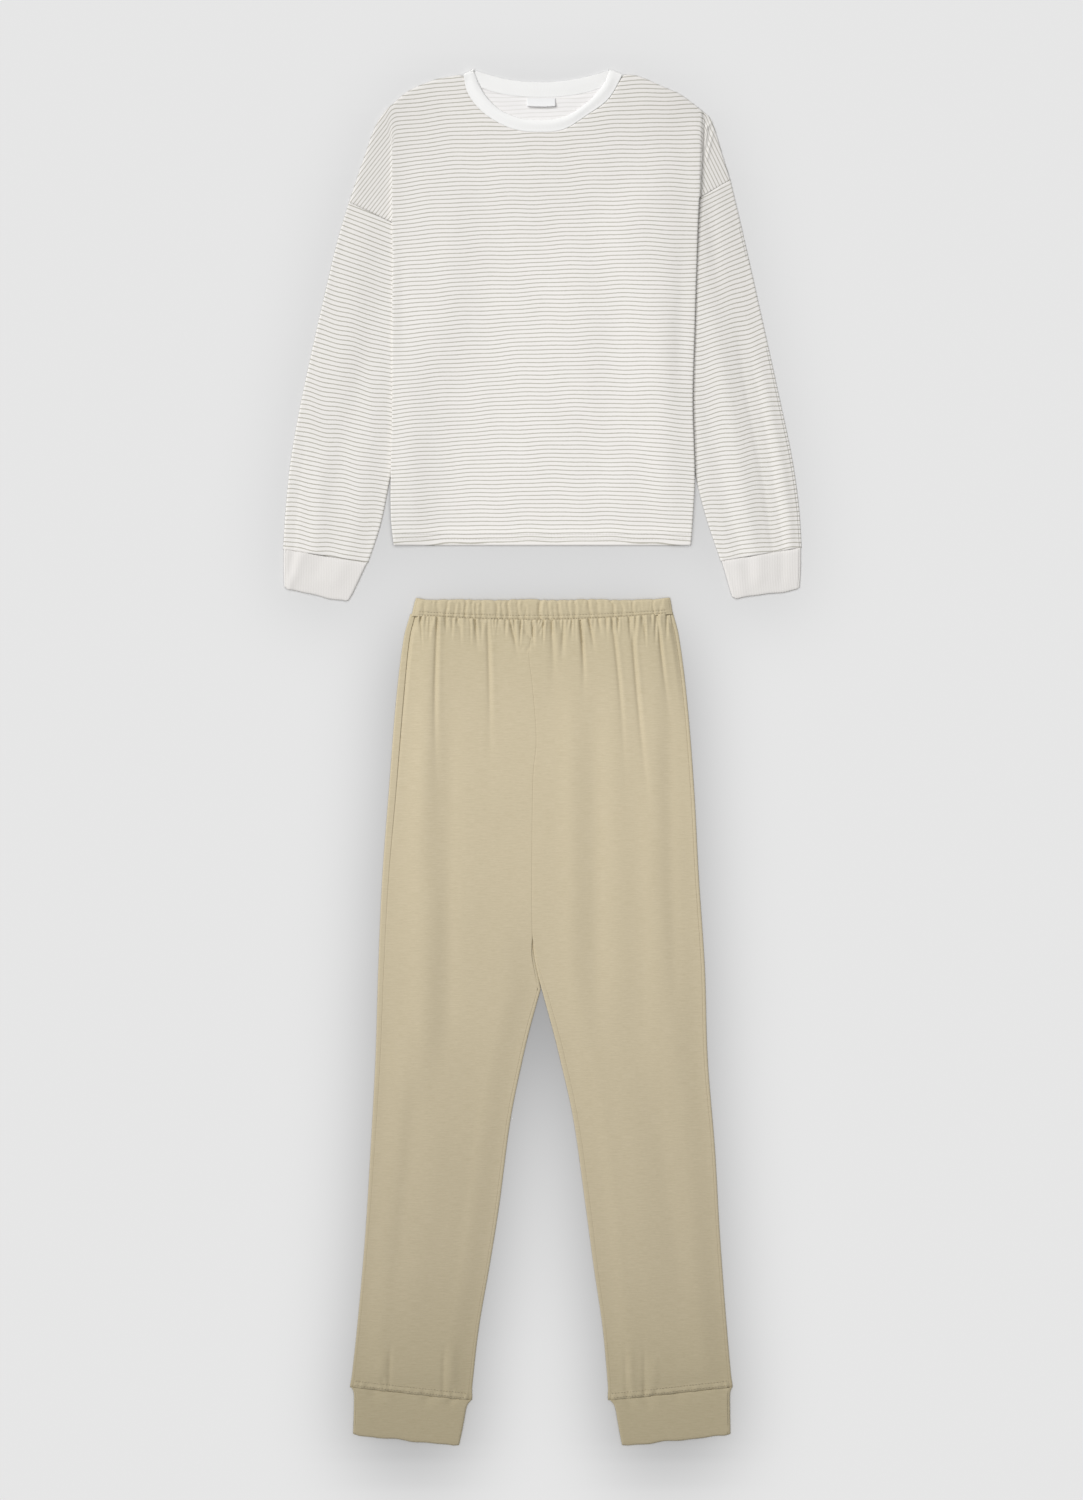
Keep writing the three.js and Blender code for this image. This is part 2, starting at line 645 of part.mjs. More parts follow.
// The neckband is a ring. Its front half lies above, its back half below, and it turns over at
// the shoulders, round the line from its free edge to its seam.
function neckband() {
  const height = pressedFlat(RIB);
  const half = height / 2;
  const widths = evenly(2);
  const strip = (edgeTable, seamTable, share, z, insideZ) => {
    const edge = neckPlace(edgeTable, share);
    const seam = neckPlace(seamTable, share);
    return widths.map((width) => {
      const x = lerp(edge.across, seam.across, width);
      const down = lerp(edge.down, seam.down, width);
      const raise = z > 0 ? NECKBAND_CROWN * Math.sin(Math.PI * width) : 0;
      return {
        outer: new THREE.Vector3(x, TOP_AT - down, z + raise),
        inner: new THREE.Vector3(x, TOP_AT - down, insideZ + raise),
      };
    });
  };
  const front = evenly(NECK_STEPS).map((share) =>
    strip(NECK_EDGE_FRONT, NECK_SEAM_FRONT, share, height, height - RIB));
  const back = evenly(NECK_STEPS).map((share) =>
    strip(NECK_EDGE_BACK, NECK_SEAM_BACK, share, 0, RIB));
  const turnOver = (row) => TURN_ANGLES.map(THREE.MathUtils.degToRad).map((angle) =>
    row.map(({ outer }) => {
      const place = (radius) =>
        new THREE.Vector3(outer.x, outer.y + radius * Math.cos(angle), half + radius * Math.sin(angle));
      return { outer: place(half), inner: place(half - RIB) };
    }));
  const rows = [
    ...front,
    ...turnOver(front[front.length - 1]),
    ...back.toReversed(),
    ...turnOver(front[0]).reverse(),
    front[0],
  ];
  return wall(facesOver(rows));
}

function neckLabel() {
  const { across, down, thick, middle } = LABEL_SIZE;
  const below = Math.max(...NECK_SEAM_BACK.map((row) => row.down)) + 4 * SEAM;
  const geometry = new THREE.BoxGeometry(across, down, thick);
  geometry.translate(middle, TOP_AT - below - down / 2, JERSEY + SEAM + thick / 2);
  return geometry;
}

// The waistband's lower edge, and with it the panels' upper edges
function waistDown(x) {
  const { bottom, sag } = WAISTBAND;
  const share = (x - bottom.outX) / (bottom.inX - bottom.outX);
  return lerp(bottom.outY, bottom.inY, share) + sag * 4 * share * (1 - share);
}

function waistband() {
  const { top, bottom, sag, crown, pleatWidth } = WAISTBAND;
  const valley = (x) => WAISTBAND_PLEATS.reduce((sum, pleat) => {
    const off = (x - pleat.x) / pleatWidth;
    return sum + pleat.depth * Math.exp(-off * off);
  }, 0);
  return flatTube({
    at: TROUSERS_AT,
    rings: ringsBetween([top, bottom], 3),
    thickness: CASING,
    height: pressedFlat(CASING),
    across: 72,
    under: 6,
    lift: (share, ring) => {
      const x = lerp(ring.outX, ring.inX, share);
      const round = 0.55 + 0.45 * Math.sin(Math.PI * ring.share);
      return Math.max(crown * round - valley(x), 0) * ease(Math.min(share, 1 - share), 0, 0.04);
    },
    bow: (share, ring) => sag * 4 * share * (1 - share) * ring.share,
  });
}

const LEG_HEIGHT = pressedFlat(TROUSER_JERSEY);
const FINE_DOWNS = [22, 28, 38, 54, 78, 108, 145];
const COARSE_DOWNS = [
  190, 240, 290, 340, 385, FORK.down, FORK.down + FORK.run, 469, CROTCH_DOWN,
  530, 580, 640, 700, 760, 820, 870, 910, 942,
];
const ANKLE_DOWNS = [966, ANKLE.down];

// How far out a leg's two edges and the seams on its front are, at a place down its length
function legPlaces(leg, down) {
  const inner = down + ankleDrop(down, 1);
  const centre = leg.sign * curve(CENTRE_SEAM, "down", "across", Math.min(down, CROTCH_DOWN));
  const below = down > CROTCH_DOWN;
  const inside = (column) => curve(leg.inside, "down", column, Math.max(inner, CROTCH_DOWN));
  const past = (down - FORK.down - FORK.run) / (CROTCH_DOWN - FORK.down - FORK.run);
  const width = past < 0 ? 0 : lerp(FORK.seam, inside("seam"), Math.min(past, 1));
  const edge = below ? inside("out") : centre + (width > 0 ? SEAM : SEAM / 2);
  const outer = curve(leg.outside, "down", "out", down);
  const outerSeam = outer - curve(leg.outside, "down", "seam", down);
  return { outer, outerSeam, edge, innerSeam: edge + width, forked: width > 0 };
}

function ankleDrop(down, share) {
  return ANKLE.drop * ease(down, ANKLE.from, ANKLE.down) * share;
}

// The level of a row of the leg at a share of the way in from its outer edge
function legDown(leg, down, out, share) {
  const bow = waistDown(leg.sign * out) + SEAM + SEAM / 2 - FINE_DOWNS[0];
  return down + bow * (1 - ease(down, FINE_DOWNS[0], 150)) + ankleDrop(down, share);
}

function valleys(x, down) {
  const rows = GATHERS.map((gather) => ({ ...gather, along: (down - 20) / gather.length }));
  return rows.filter((gather) => gather.along < 1).reduce((sum, gather) => {
    const off = (x - gather.x - gather.lean * gather.along) / gather.width;
    return sum + gather.depth * Math.exp(-off * off) * (1 - ease(gather.along, 0.35, 1));
  }, 0);
}

function trouserFront(leg) {
  const { edge, waistEdge, foldEdge, pastAnkle, fromAnkle } = LEG_SOFT;
  const row = (count) => (down) => {
    const { outerSeam, innerSeam, forked } = legPlaces(leg, down);
    const first = outerSeam - SEAM / 2;
    const last = innerSeam + (forked ? SEAM / 2 : 0);
    return evenly(count).map((share) => {
      const out = lerp(first, last, share);
      const x = leg.sign * out;
      const at = legDown(leg, down, out, share);
      const soft = ease(Math.min(share, forked ? 1 - share : 1), 0, edge);
      const fullness = (1 - ease(down, FINE_DOWNS[0], WAIST_PUFF.down)) * ease(share, 0, waistEdge);
      const crown = LEG_CROWN * soft * ease(ANKLE.down + pastAnkle - down, 0, fromAnkle);
      const folds = foldHeight(LEG_FOLDS, x, at) * ease(Math.min(share, 1 - share), 0, foldEdge);
      const lift = crown + WAIST_PUFF.height * fullness + folds;
      const top = LEG_HEIGHT + Math.max(lift - valleys(x, at), 0);
      return clothPoint(TROUSERS_AT, x, at, top, TROUSER_JERSEY);
    });
  };
  return wall(facesOver([
    ...FINE_DOWNS.map(row(LEG_COLUMNS.gathers)),
    ...COARSE_DOWNS.map(row(LEG_COLUMNS.leg)),
    ...ANKLE_DOWNS.map(row(LEG_COLUMNS.ankle)),
  ]));
}

// The back lies on the surface, and turns up round the leg's edges to the seams on the front.
function trouserBack(leg) {
  const half = LEG_HEIGHT / 2;
  const hollow = half - TROUSER_JERSEY;
  const turns = TURN_ANGLES.map(THREE.MathUtils.degToRad);
  const row = (down) => {
    const { outer, outerSeam, edge, innerSeam, forked } = legPlaces(leg, down);
    const point = (out, z, innerOut, innerZ, share) => {
      const at = TROUSERS_AT - legDown(leg, down, out, share);
      return {
        outer: new THREE.Vector3(leg.sign * out, at, z),
        inner: new THREE.Vector3(leg.sign * innerOut, at, innerZ),
      };
    };
    const upper = (out, share) => point(out, LEG_HEIGHT, out, LEG_HEIGHT - TROUSER_JERSEY, share);
    const lower = (out, share) => point(out, 0, out, TROUSER_JERSEY, share);
    const turn = (centre, side, share) => (angle) => point(
      centre + side * half * Math.cos(angle),
      half + half * Math.sin(angle),
      centre + side * hollow * Math.cos(angle),
      half + hollow * Math.sin(angle),
      share,
    );
    const outMost = outer - half;
    const inMost = forked ? edge + half : edge;
    const toSeam = [upper(inMost, 1), upper(innerSeam - SEAM / 2, 1)];
    const inTurn = [...turns.toReversed().map(turn(inMost, -1, 1)), ...toSeam];
    const flatEnd = inTurn.map(() => lower(inMost, 1)); // above the fork the row ends in one place
    return [
      upper(outerSeam + SEAM / 2, 0),
      upper(outMost, 0),
      ...turns.map(turn(outMost, 1, 0)),
      ...evenly(3).map((share) => lower(lerp(outMost, inMost, share), share)),
      ...(forked ? inTurn : flatEnd),
    ];
  };
  return wall(facesOver([...FINE_DOWNS, ...COARSE_DOWNS, ...ANKLE_DOWNS].map(row)));
}

function piece(name, geometry, material) {
  const mesh = new THREE.Mesh(geometry, material);
  mesh.name = name;
  return mesh;
}

const pyjamaSet = new THREE.Group();
pyjamaSet.add(
  piece("top_front", topFront(), STRIPED),
  piece("top_back", topBack(), STRIPED),
  piece("sleeve_right", sleeve(SLEEVE_RIGHT, SLEEVE_FOLDS_RIGHT), STRIPED),
  piece("sleeve_left", sleeve(SLEEVE_LEFT, SLEEVE_FOLDS_LEFT), STRIPED),
  piece("cuff_right", cuff(CUFF_RIGHT, TOP_AT, 7), RIBBED),
  piece("cuff_left", cuff(CUFF_LEFT, TOP_AT, 7), RIBBED),
  piece("neckband", neckband(), RIBBED),
  piece("neck_label", neckLabel(), WOVEN),
  piece("trouser_front_right", trouserFront(LEG_RIGHT), KHAKI),
  piece("trouser_front_left", trouserFront(LEG_LEFT), KHAKI),
  piece("trouser_back_right", trouserBack(LEG_RIGHT), KHAKI),
  piece("trouser_back_left", trouserBack(LEG_LEFT), KHAKI),
  piece("waistband", waistband(), KHAKI),
  piece("ankle_cuff_right", cuff(ANKLE_CUFF_RIGHT, TROUSERS_AT, 9), KHAKI),
  piece("ankle_cuff_left", cuff(ANKLE_CUFF_LEFT, TROUSERS_AT, 9), KHAKI),
);

export default pyjamaSet;
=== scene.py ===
"""A two-piece pyjama set laid out flat: a striped jersey top with a rib neckband and cuffs, above
plain khaki jersey trousers with a gathered waistband and ankle cuffs. Sizes are in millimetres.
Across is measured from the middle, towards the wearer's left, and down from each garment's top."""

import json
import math

import bmesh
import bpy
import numpy as np
from mathutils import Matrix, Vector

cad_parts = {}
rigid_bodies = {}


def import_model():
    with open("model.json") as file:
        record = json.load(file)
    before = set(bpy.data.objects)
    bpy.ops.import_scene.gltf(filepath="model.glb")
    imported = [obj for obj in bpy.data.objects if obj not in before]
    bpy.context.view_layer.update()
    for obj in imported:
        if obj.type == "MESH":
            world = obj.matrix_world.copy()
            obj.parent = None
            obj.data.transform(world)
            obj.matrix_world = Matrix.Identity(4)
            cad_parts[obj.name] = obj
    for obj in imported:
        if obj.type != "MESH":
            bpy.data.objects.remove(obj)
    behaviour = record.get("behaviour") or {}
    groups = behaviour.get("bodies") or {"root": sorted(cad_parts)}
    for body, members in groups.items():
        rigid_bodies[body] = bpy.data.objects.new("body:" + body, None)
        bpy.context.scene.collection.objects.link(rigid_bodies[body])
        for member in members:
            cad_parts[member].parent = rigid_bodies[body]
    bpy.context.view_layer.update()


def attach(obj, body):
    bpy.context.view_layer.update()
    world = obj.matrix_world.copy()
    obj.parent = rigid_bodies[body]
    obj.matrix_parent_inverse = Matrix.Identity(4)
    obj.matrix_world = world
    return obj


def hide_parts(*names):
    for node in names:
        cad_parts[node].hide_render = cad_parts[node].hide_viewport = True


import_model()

MM = 0.001
FOLD = "across start end lean height width"
RING = "out_across out_down in_across in_down"


def table(columns, *rows):
    """A short table as a dict of its named columns."""
    return dict(zip(columns.split(), np.array(rows, float).T))


# Cloth
JERSEY = 1.3
TROUSER_JERSEY = 1.2
RIB = 2.0
CASING = 2.1
SEAM = 0.3
MEET = -0.2  # pieces that are sewn together run this far into each other
MEET_WAIST = -2.5  # and the trousers' panels run this far under the waistband
STRIPE_PITCH = 5.2
TOP_AT = 862.8
TROUSERS_AT = 201.8
HEM_DOWN = 598
HEM_DEPTH = 20
HEM_FOLD = 0.9
RIM = 1.8  # how far from a cut or sewn edge its cloth starts to round down
RIM_FALL = 0.5
SEAM_FALL = 0.2

# The top
SHOULDER_RIGHT = table("across down", (-187, 47), (-171, 33), (-152, 23), (-130, 15), (-98, 9))
SHOULDER_LEFT = table("across down", (100, 9), (122, 12), (152, 25), (174, 35), (202, 56))
NECK_SEAM_FRONT = table(
    "across down", (-98, 9), (-92, 34), (-71, 59), (-38, 77), (-4, 81.5), (27, 78), (55, 61), (83, 40),
    (100, 9),
)
NECK_EDGE_FRONT = table(
    "across down", (-85, 2.5), (-74, 30), (-54, 52), (-28, 63.5), (0, 66), (29, 61.5), (57, 43.5),
    (78, 20), (84, 2.5),
)
NECK_SEAM_BACK = table(
    "across down", (-98, 9), (-84, 22), (-48, 34), (-2, 38), (46, 34), (84, 22), (100, 9),
)
NECK_EDGE_BACK = table(
    "across down", (-85, 2.5), (-72, 8), (-40, 16), (-2, 19), (38, 16), (72, 8), (84, 2.5),
)
BODY_SIDES = table(
    "down right left", (164, -187, 196.5), (195, -187, 195), (240, -186.5, 193.5), (340, -187, 190.5),
    (420, -187, 188.5), (515, -189, 191), (565, -188.5, 188.5), (598, -185, 186),
)
PIVOT_RIGHT = (-187, 47)
PIVOT_LEFT = (202, 56)
UNDERARM_RIGHT = (-187, 195)
UNDERARM_LEFT = (196.5, 164)
DROP_EDGE_RIGHT = table(
    "across down", (-187, 47), (-196, 55), (-208, 74), (-219, 104), (-231, 139), (-241, 169),
)
DROP_EDGE_LEFT = table(
    "across down", (202, 56), (210, 64), (217, 81), (225, 108), (231, 127), (235.5, 141),
)
SLEEVE_RIGHT = table(
    RING, (-241, 169.6, -131, 223.6), (-255, 216, -139, 262), (-273, 291, -151, 325),
    (-291, 371, -165, 394), (-306, 444, -178, 460), (-315, 500, -190, 516), (-320.5, 556, -201, 570),
    (-323.5, 602, -217, 619),
)
SLEEVE_LEFT = table(
    RING, (235.5, 141.6, 133, 203.6), (247, 190, 143, 248), (262.5, 258, 153, 310),
    (282.5, 348, 169, 385), (300, 428, 182.5, 455), (312.5, 488, 191.5, 509), (321, 548, 205, 562),
    (324.5, 600, 223.5, 617),
)
CUFF_RIGHT = table(
    RING, (-322.5, 602.4, -218, 619.4), (-322.5, 627, -229, 643), (-322, 652, -241, 669),
)
CUFF_LEFT = table(RING, (323.5, 600.4, 224.5, 617.4), (323.5, 627, 231.5, 641), (322, 653, 238, 665))
# How much lower a stripe lies at a place than at the middle of the body
STRIPE_PLACES = np.array((-185, -110, 0, 115, 190), float)
STRIPE_SAG = table(
    "down right_side right_chest middle left_chest left_side", (46, 12, 3, 0, -8.5, -10),
    (159, 11.5, 4, 0, -5, -4), (271, 11.5, 5, 0, -3, -1), (384, 13.5, 7, 0, -1, 1.5),
    (496, 11, 4.5, 0, 1, 6.5), (571, 6.5, 2, 0, 0.5, 5.5),
)
# How steeply the stripes fall towards a sleeve's inner edge
SLEEVE_TILT_RIGHT = table(
    "down slope", (150, 0.4), (209, 0.34), (321, 0.26), (396, 0.2), (471, 0.17), (560, 0.13),
)
SLEEVE_TILT_LEFT = table(
    "down slope", (150, -0.49), (209, -0.42), (284, -0.32), (358, -0.23), (471, -0.17), (560, -0.12),
)
# Long soft folds: across, where each begins and ends, its lean, height and width
BODY_FOLDS = table(
    FOLD, (-168, 330, 620, 8, 1.1, 16), (-104, 100, 400, -20, 0.8, 22), (40, 190, 470, 22, 0.8, 30),
    (150, 240, 590, 8, 1.1, 18), (-176, 200, 400, 4, -0.6, 8), (176, 190, 420, -6, -0.7, 9),
    (96, 240, 560, -26, -0.5, 20), (-60, 260, 540, 24, -0.5, 26),
)
# A sleeve's folds: places are shares of the way in from its outer edge and of the way down
SLEEVE_FOLDS_RIGHT = table(
    FOLD, (0.3, 0.6, 1.15, 0.1, 1.0, 0.1), (0.22, -0.1, 0.6, 0.12, 0.7, 0.14),
    (0.08, 0.55, 1.2, 0.02, -0.7, 0.05), (0.55, 0.2, 0.9, -0.1, -0.6, 0.1),
    (0.72, 0.35, 1.15, 0.04, 0.6, 0.1), (0.8, 0.0, 0.25, 0.1, -0.9, 0.07),
)
SLEEVE_FOLDS_LEFT = table(
    FOLD, (0.5, 0.2, 1.15, 0.08, 1.9, 0.11), (0.08, 0.35, 1.15, 0.04, 1.5, 0.09),
    (0.26, 0.3, 1.2, 0.04, -2.6, 0.07), (0.2, -0.2, 0.35, 0.2, -1.0, 0.07),
    (0.78, 0.4, 1.2, -0.04, -0.9, 0.07),
)
# A cuff's folds, in the same shares
CUFF_FOLDS_RIGHT = table(
    FOLD, (0.3, -0.6, 1.1, -0.22, 1.2, 0.08), (0.17, -0.6, 1.0, -0.12, -0.9, 0.06),
    (0.5, -0.5, 0.8, -0.1, -0.7, 0.1), (0.05, 0.45, 1.4, 0.02, 1.2, 0.06),
    (0.75, -0.4, 0.9, -0.05, 0.6, 0.1),
)
CUFF_FOLDS_LEFT = table(
    FOLD, (0.5, -0.5, 0.9, 0.1, 1.1, 0.1), (0.22, -0.4, 1.0, 0.06, -0.8, 0.07),
    (0.66, -0.4, 0.8, 0.05, -0.6, 0.07), (0.84, -0.2, 1.2, 0.0, 0.7, 0.08),
)

# The trousers: out is measured from the middle towards the leg.
LEG_RIGHT = {
    "sign": -1,
    "outside": table(
        "down out seam", (22, 164.5, 6), (52, 172.5, 7), (128, 182, 9), (240, 191, 9), (352, 199.5, 8),
        (465, 204.5, 7), (578, 208, 6), (690, 214, 5), (802, 221, 4), (915, 231, 3.5), (988, 239, 3.5),
    ),
    "inside": table(
        "down out seam", (491, 1.5, 3.5), (540, 15, 4), (578, 24, 4), (652, 39, 4), (765, 54, 4),
        (840, 66, 3.5), (915, 79, 3.5), (1004, 89, 3.5),
    ),
}
LEG_LEFT = {
    "sign": 1,
    "outside": table(
        "down out seam", (22, 163.5, 4), (52, 171, 4), (128, 181, 4), (240, 190, 4), (352, 196, 4),
        (465, 203.5, 4), (578, 207, 4), (690, 216, 3.5), (802, 222.5, 3.5), (915, 231, 3.5),
        (988, 237.5, 3.5),
    ),
    "inside": table(
        "down out seam", (491, -0.5, 6), (540, 13, 6.5), (578, 22.5, 6.5), (652, 39, 6), (765, 55, 6),
        (840, 65, 5), (915, 76, 4), (1004, 84, 3.5),
    ),
}
CENTRE_SEAM = table(
    "down across", (20, -9), (65, -16), (108, -12), (180, -7), (225, -11), (352, -12.5), (425, -12),
    (455, -9), (491, -1),
)
FORK_DOWN = 425
FORK_RUN = 22
FORK_SEAM = 2.8
CROTCH_DOWN = 491
WAIST_DOWN = 22
ANKLE_DOWN = 988
ANKLE_DROP = 16
ANKLE_DROP_FROM = 840
ANKLE_CUFF_RIGHT = table(
    RING, (-238, 988.5, -88.5, 1004.5), (-235, 997, -94, 1013), (-235, 1018, -98, 1034),
    (-236, 1048, -103.5, 1062),
)
ANKLE_CUFF_LEFT = table(
    RING, (237.5, 988.5, 85, 1004.5), (235, 997, 91, 1013), (235, 1018, 95, 1034),
    (235.5, 1048, 100, 1062),
)
WAISTBAND = table(RING, (-157.5, 0, 160, 0), (-163, 24, 163.5, 21.5))
WAISTBAND_SAG = 8
BAND_STITCHES = (0.76, 0.9)  # shares of the way down the band
MINOR_PLEATS = 58
# The waistband's pleats: each crosses the band's height from start to end, leaning
WAISTBAND_PLEATS = table(
    "across lean start end depth width", (-146, -2, 0.2, 1, 0.5, 3), (-131, 2, 0.1, 1, 0.6, 2.6),
    (-116, -4, 0.1, 1, 1.2, 1.6), (-110, 0, 0.3, 1, 0.9, 1.3), (-103, 2, 0.2, 0.9, 0.7, 1.6),
    (-95, -2, 0, 1, 1.5, 1.7), (-87, -1, 0.1, 1, 0.9, 1.5), (-83, 2, 0.2, 1, 1.4, 1.3),
    (-76, 1, 0.1, 0.9, 1.0, 1.7), (-58.5, 2.5, 0.1, 1, 1.4, 1.5), (-49, 1, 0.2, 1, 1.0, 1.4),
    (-42, 2, 0, 1, 1.5, 1.5), (-30, 2, 0.1, 1, 1.2, 1.6), (-22, 2, 0.3, 1, 0.8, 1.8),
    (-1, -1, 0, 1, 1.6, 2.0), (7.5, 1.5, 0.1, 1, 1.1, 1.5), (19, 3, 0, 1, 1.1, 1.9),
    (33, 2, 0.1, 1, 0.9, 1.5), (41, 1, 0, 1, 1.3, 1.6), (57, 4, 0, 1, 1.5, 1.6),
    (68, 3, 0.1, 1, 1.0, 1.6), (86, 5, 0, 1, 1.4, 1.5), (97, 4, 0.2, 1, 0.9, 1.6),
    (113, 2, 0.1, 1, 0.9, 1.8), (139, 1, 0.1, 1, 0.8, 1.6),
)
# The valleys that the waistband's fullness leaves down the front
GATHERS = table(
    "across lean length depth width", (-156, -3, 34, 1.4, 3.4), (-150, -3, 18, 1.3, 1.8),
    (-144, -2, 26, 0.9, 3.5), (-137, 1, 16, 0.8, 2.0), (-130, 4, 290, 2.3, 6.5),
    (-119, 4, 32, 1.5, 2.4), (-105, 1, 28, 1.3, 2.2), (-95, 1, 16, 0.9, 2.2), (-83, 4, 52, 2.0, 2.8),
    (-77, 1, 20, 0.8, 2.0), (-68, 2, 260, 1.8, 6.5), (-55, 4, 28, 1.0, 3.0), (-42, 13, 62, 1.7, 3.2),
    (-36, 2, 14, 0.8, 2.0), (-27, 13, 22, 1.8, 2.0), (-22, 12, 16, 1.0, 1.8), (-3, -5, 22, 1.5, 2.0),
    (3, -10, 26, 1.2, 2.6), (11, 2, 120, 1.1, 7), (19, -2, 14, 0.8, 1.8), (27, -5, 80, 1.3, 4.5),
    (37, -1, 40, 1.2, 2.6), (47, 5, 110, 2.6, 3.2), (57, 9, 56, 1.7, 2.6), (72, 2, 34, 1.2, 2.6),
    (87, 16, 260, 2.1, 5.5), (95, 0, 18, 1.1, 1.9), (111, 34, 330, 2.3, 6), (125, 4, 34, 1.0, 3.2),
    (136, 1, 24, 0.9, 2.4), (144, 20, 165, 1.9, 4.5),
)
# Small folds, from one place to another: raised ones at the left shoulder's crease, and the
# hollows that meet under the waistband's middle
SHOULDER_FOLDS = table(
    "across down to_across to_down depth width", (213, 68, 206, 76, 1.2, 1.8),
    (206, 76, 204.5, 98, 1.3, 1.8), (214, 80, 209.5, 98, 1.0, 1.6), (209.5, 98, 206, 116, 1.0, 1.6),
)
CENTRE_FOLDS = table(
    "across down to_across to_down depth width", (-30, 33, -20, 47, 1.0, 1.5),
    (-26, 31, -14, 54, 1.3, 1.7), (-8, 32, -11.5, 52, 1.2, 1.6), (4, 30, -3, 46, 1.0, 1.5),
    (-40, 42, -25, 64.5, 0.5, 2.4), (-25, 64.5, -18.5, 68, 0.5, 2.4), (-18.5, 68, -12.5, 58, 0.5, 2.2),
)
LEG_FOLDS = table(
    FOLD, (-144, 40, 720, -8, 1.7, 14), (-114, 60, 640, -4, -1.2, 13), (36, 60, 560, 4, 1.3, 13),
    (66, 60, 620, 2, -1.3, 13), (92, 90, 640, 6, 1.0, 16), (134, 60, 640, 8, 0.9, 11),
    (156, 60, 620, 10, -1.1, 10), (-135, 300, 620, -6, 1.2, 14), (-110, 520, 980, -62, 1.1, 20),
    (-150, 560, 900, -40, -0.7, 12), (-70, 560, 940, -50, -0.6, 12), (-198, 940, 1010, -4, 0.9, 6),
    (-189, 930, 1010, -3, -1.0, 3), (-112, 930, 1020, -2, 1.0, 6), (-122, 930, 1020, -2, -0.9, 3),
    (150, 340, 640, 14, 1.2, 14), (96, 520, 980, 52, 1.1, 20), (140, 600, 920, 40, -0.7, 12),
    (58, 560, 940, 42, -0.6, 10), (104, 935, 1020, 2, -0.9, 3), (110, 930, 1020, 2, 1.0, 5),
    (128, 935, 1012, 0, -0.9, 3), (140, 945, 1010, 0, 0.8, 6),
)
CREASE_RUN = 2.6
MINOR_GATHERS = 55
# The puckers above an ankle's seam: where each is, its lean, length, depth and width
LEG_RIGHT["puckers"] = table(
    "across lean length depth width", (-229, 3, 14, 0.8, 2.2), (-198, -3, 26, 1.1, 3.0),
    (-170, 2, 12, 0.5, 3.0), (-150, 2, 10, 0.4, 2.5), (-112, -1, 22, 0.9, 3.0), (-99, 2, 12, 0.7, 2.4),
)
LEG_LEFT["puckers"] = table(
    "across lean length depth width", (228, -2, 12, 0.7, 2.4), (205, 1, 10, 0.4, 2.6),
    (142, 2, 14, 0.6, 3.0), (129, -1, 26, 0.9, 3.0), (108, 2, 22, 1.0, 2.8), (96, -1, 10, 0.5, 2.4),
)
LEG_RIGHT["groove"] = 0.9
LEG_LEFT["groove"] = 0.25
ANKLE_FOLDS_RIGHT = table(
    FOLD, (0.19, -0.35, 0.55, -0.02, -1.3, 0.05), (0.3, -0.3, 0.6, 0.0, 0.6, 0.06),
    (0.63, -0.35, 0.5, 0.02, -1.2, 0.045), (0.76, -0.3, 0.5, 0.01, 0.5, 0.04),
    (0.85, -0.35, 0.45, 0.0, -1.3, 0.035),
)
ANKLE_FOLDS_LEFT = table(
    FOLD, (0.86, -0.35, 0.5, 0.0, -1.2, 0.04), (0.72, -0.35, 0.6, 0.0, -1.1, 0.04),
    (0.6, -0.3, 0.5, 0.01, 0.5, 0.05), (0.45, -0.35, 0.5, 0.01, -0.9, 0.05),
    (0.06, -0.35, 0.5, 0.0, -0.8, 0.03),
)


def lerp(a, b, share):
    return a + (b - a) * share


def ease(value, low, high):
    """0 below low, 1 above high, and a smooth step between."""
    share = np.clip((value - low) / (high - low), 0, 1)
    return share * share * (3 - 2 * share)


def bell(off, width=1):
    """1 in the middle, falling away softly to both sides."""
    return np.exp(-((off / width) ** 2))


def inward(share):
    """How far in from the nearer of its two ends a share lies."""
    return np.minimum(share, 1 - share)


def smooth_between(at, pick, place):
    """The value at each place on a smooth curve, where pick(i) is the value at the i-th of at."""
    last = len(at) - 1
    i = np.clip(np.searchsorted(at, place, side="right") - 1, 0, last - 1)
    run = at[i + 1] - at[i]
    share = np.clip((place - at[i]) / run, 0, 1)
    left = 1 - share

    def slope(k):
        before, after = np.maximum(k - 1, 0), np.minimum(k + 1, last)
        return (pick(after) - pick(before)) / (at[after] - at[before])

    blend = lerp(pick(i), pick(i + 1), share * share * (3 - 2 * share))
    return blend + run * share * left * (slope(i) * left - slope(i + 1) * share)


def curve(rows, by, column, place):
    """A column's value at each place of another column, on a smooth curve through the rows."""
    return smooth_between(rows[by], lambda i: rows[column][i], place)


def along(rows, share, *columns):
    """Columns' values a share of the way from a table's first row to its last."""
    steps = np.linspace(0, 1, len(rows[columns[0]]))
    return [smooth_between(steps, lambda i: rows[name][i], share) for name in columns]


def spread(share, strength):
    """Shares drawn towards both ends, so that the cells are finer at a piece's edges."""
    return lerp(share, 0.5 - 0.5 * np.cos(np.pi * share), strength)


def by_phase(phase, *values):
    """The value of the stretch that each point of a section lies on. Each stretch is 1 long."""
    return np.select([phase <= i for i in range(1, len(values))], values[:-1], values[-1])


def fold_height(folds, across, down):
    """What a table of long soft folds adds at each place. Each fades out towards its ends."""
    total = np.zeros_like(across)
    for x, start, end, lean, height, width in zip(*folds.values()):
        share = np.clip((down - start) / (end - start), 0, 1)
        total += height * bell(across - x - lean * share, width) * ease(inward(share), 0, 0.3)
    return total


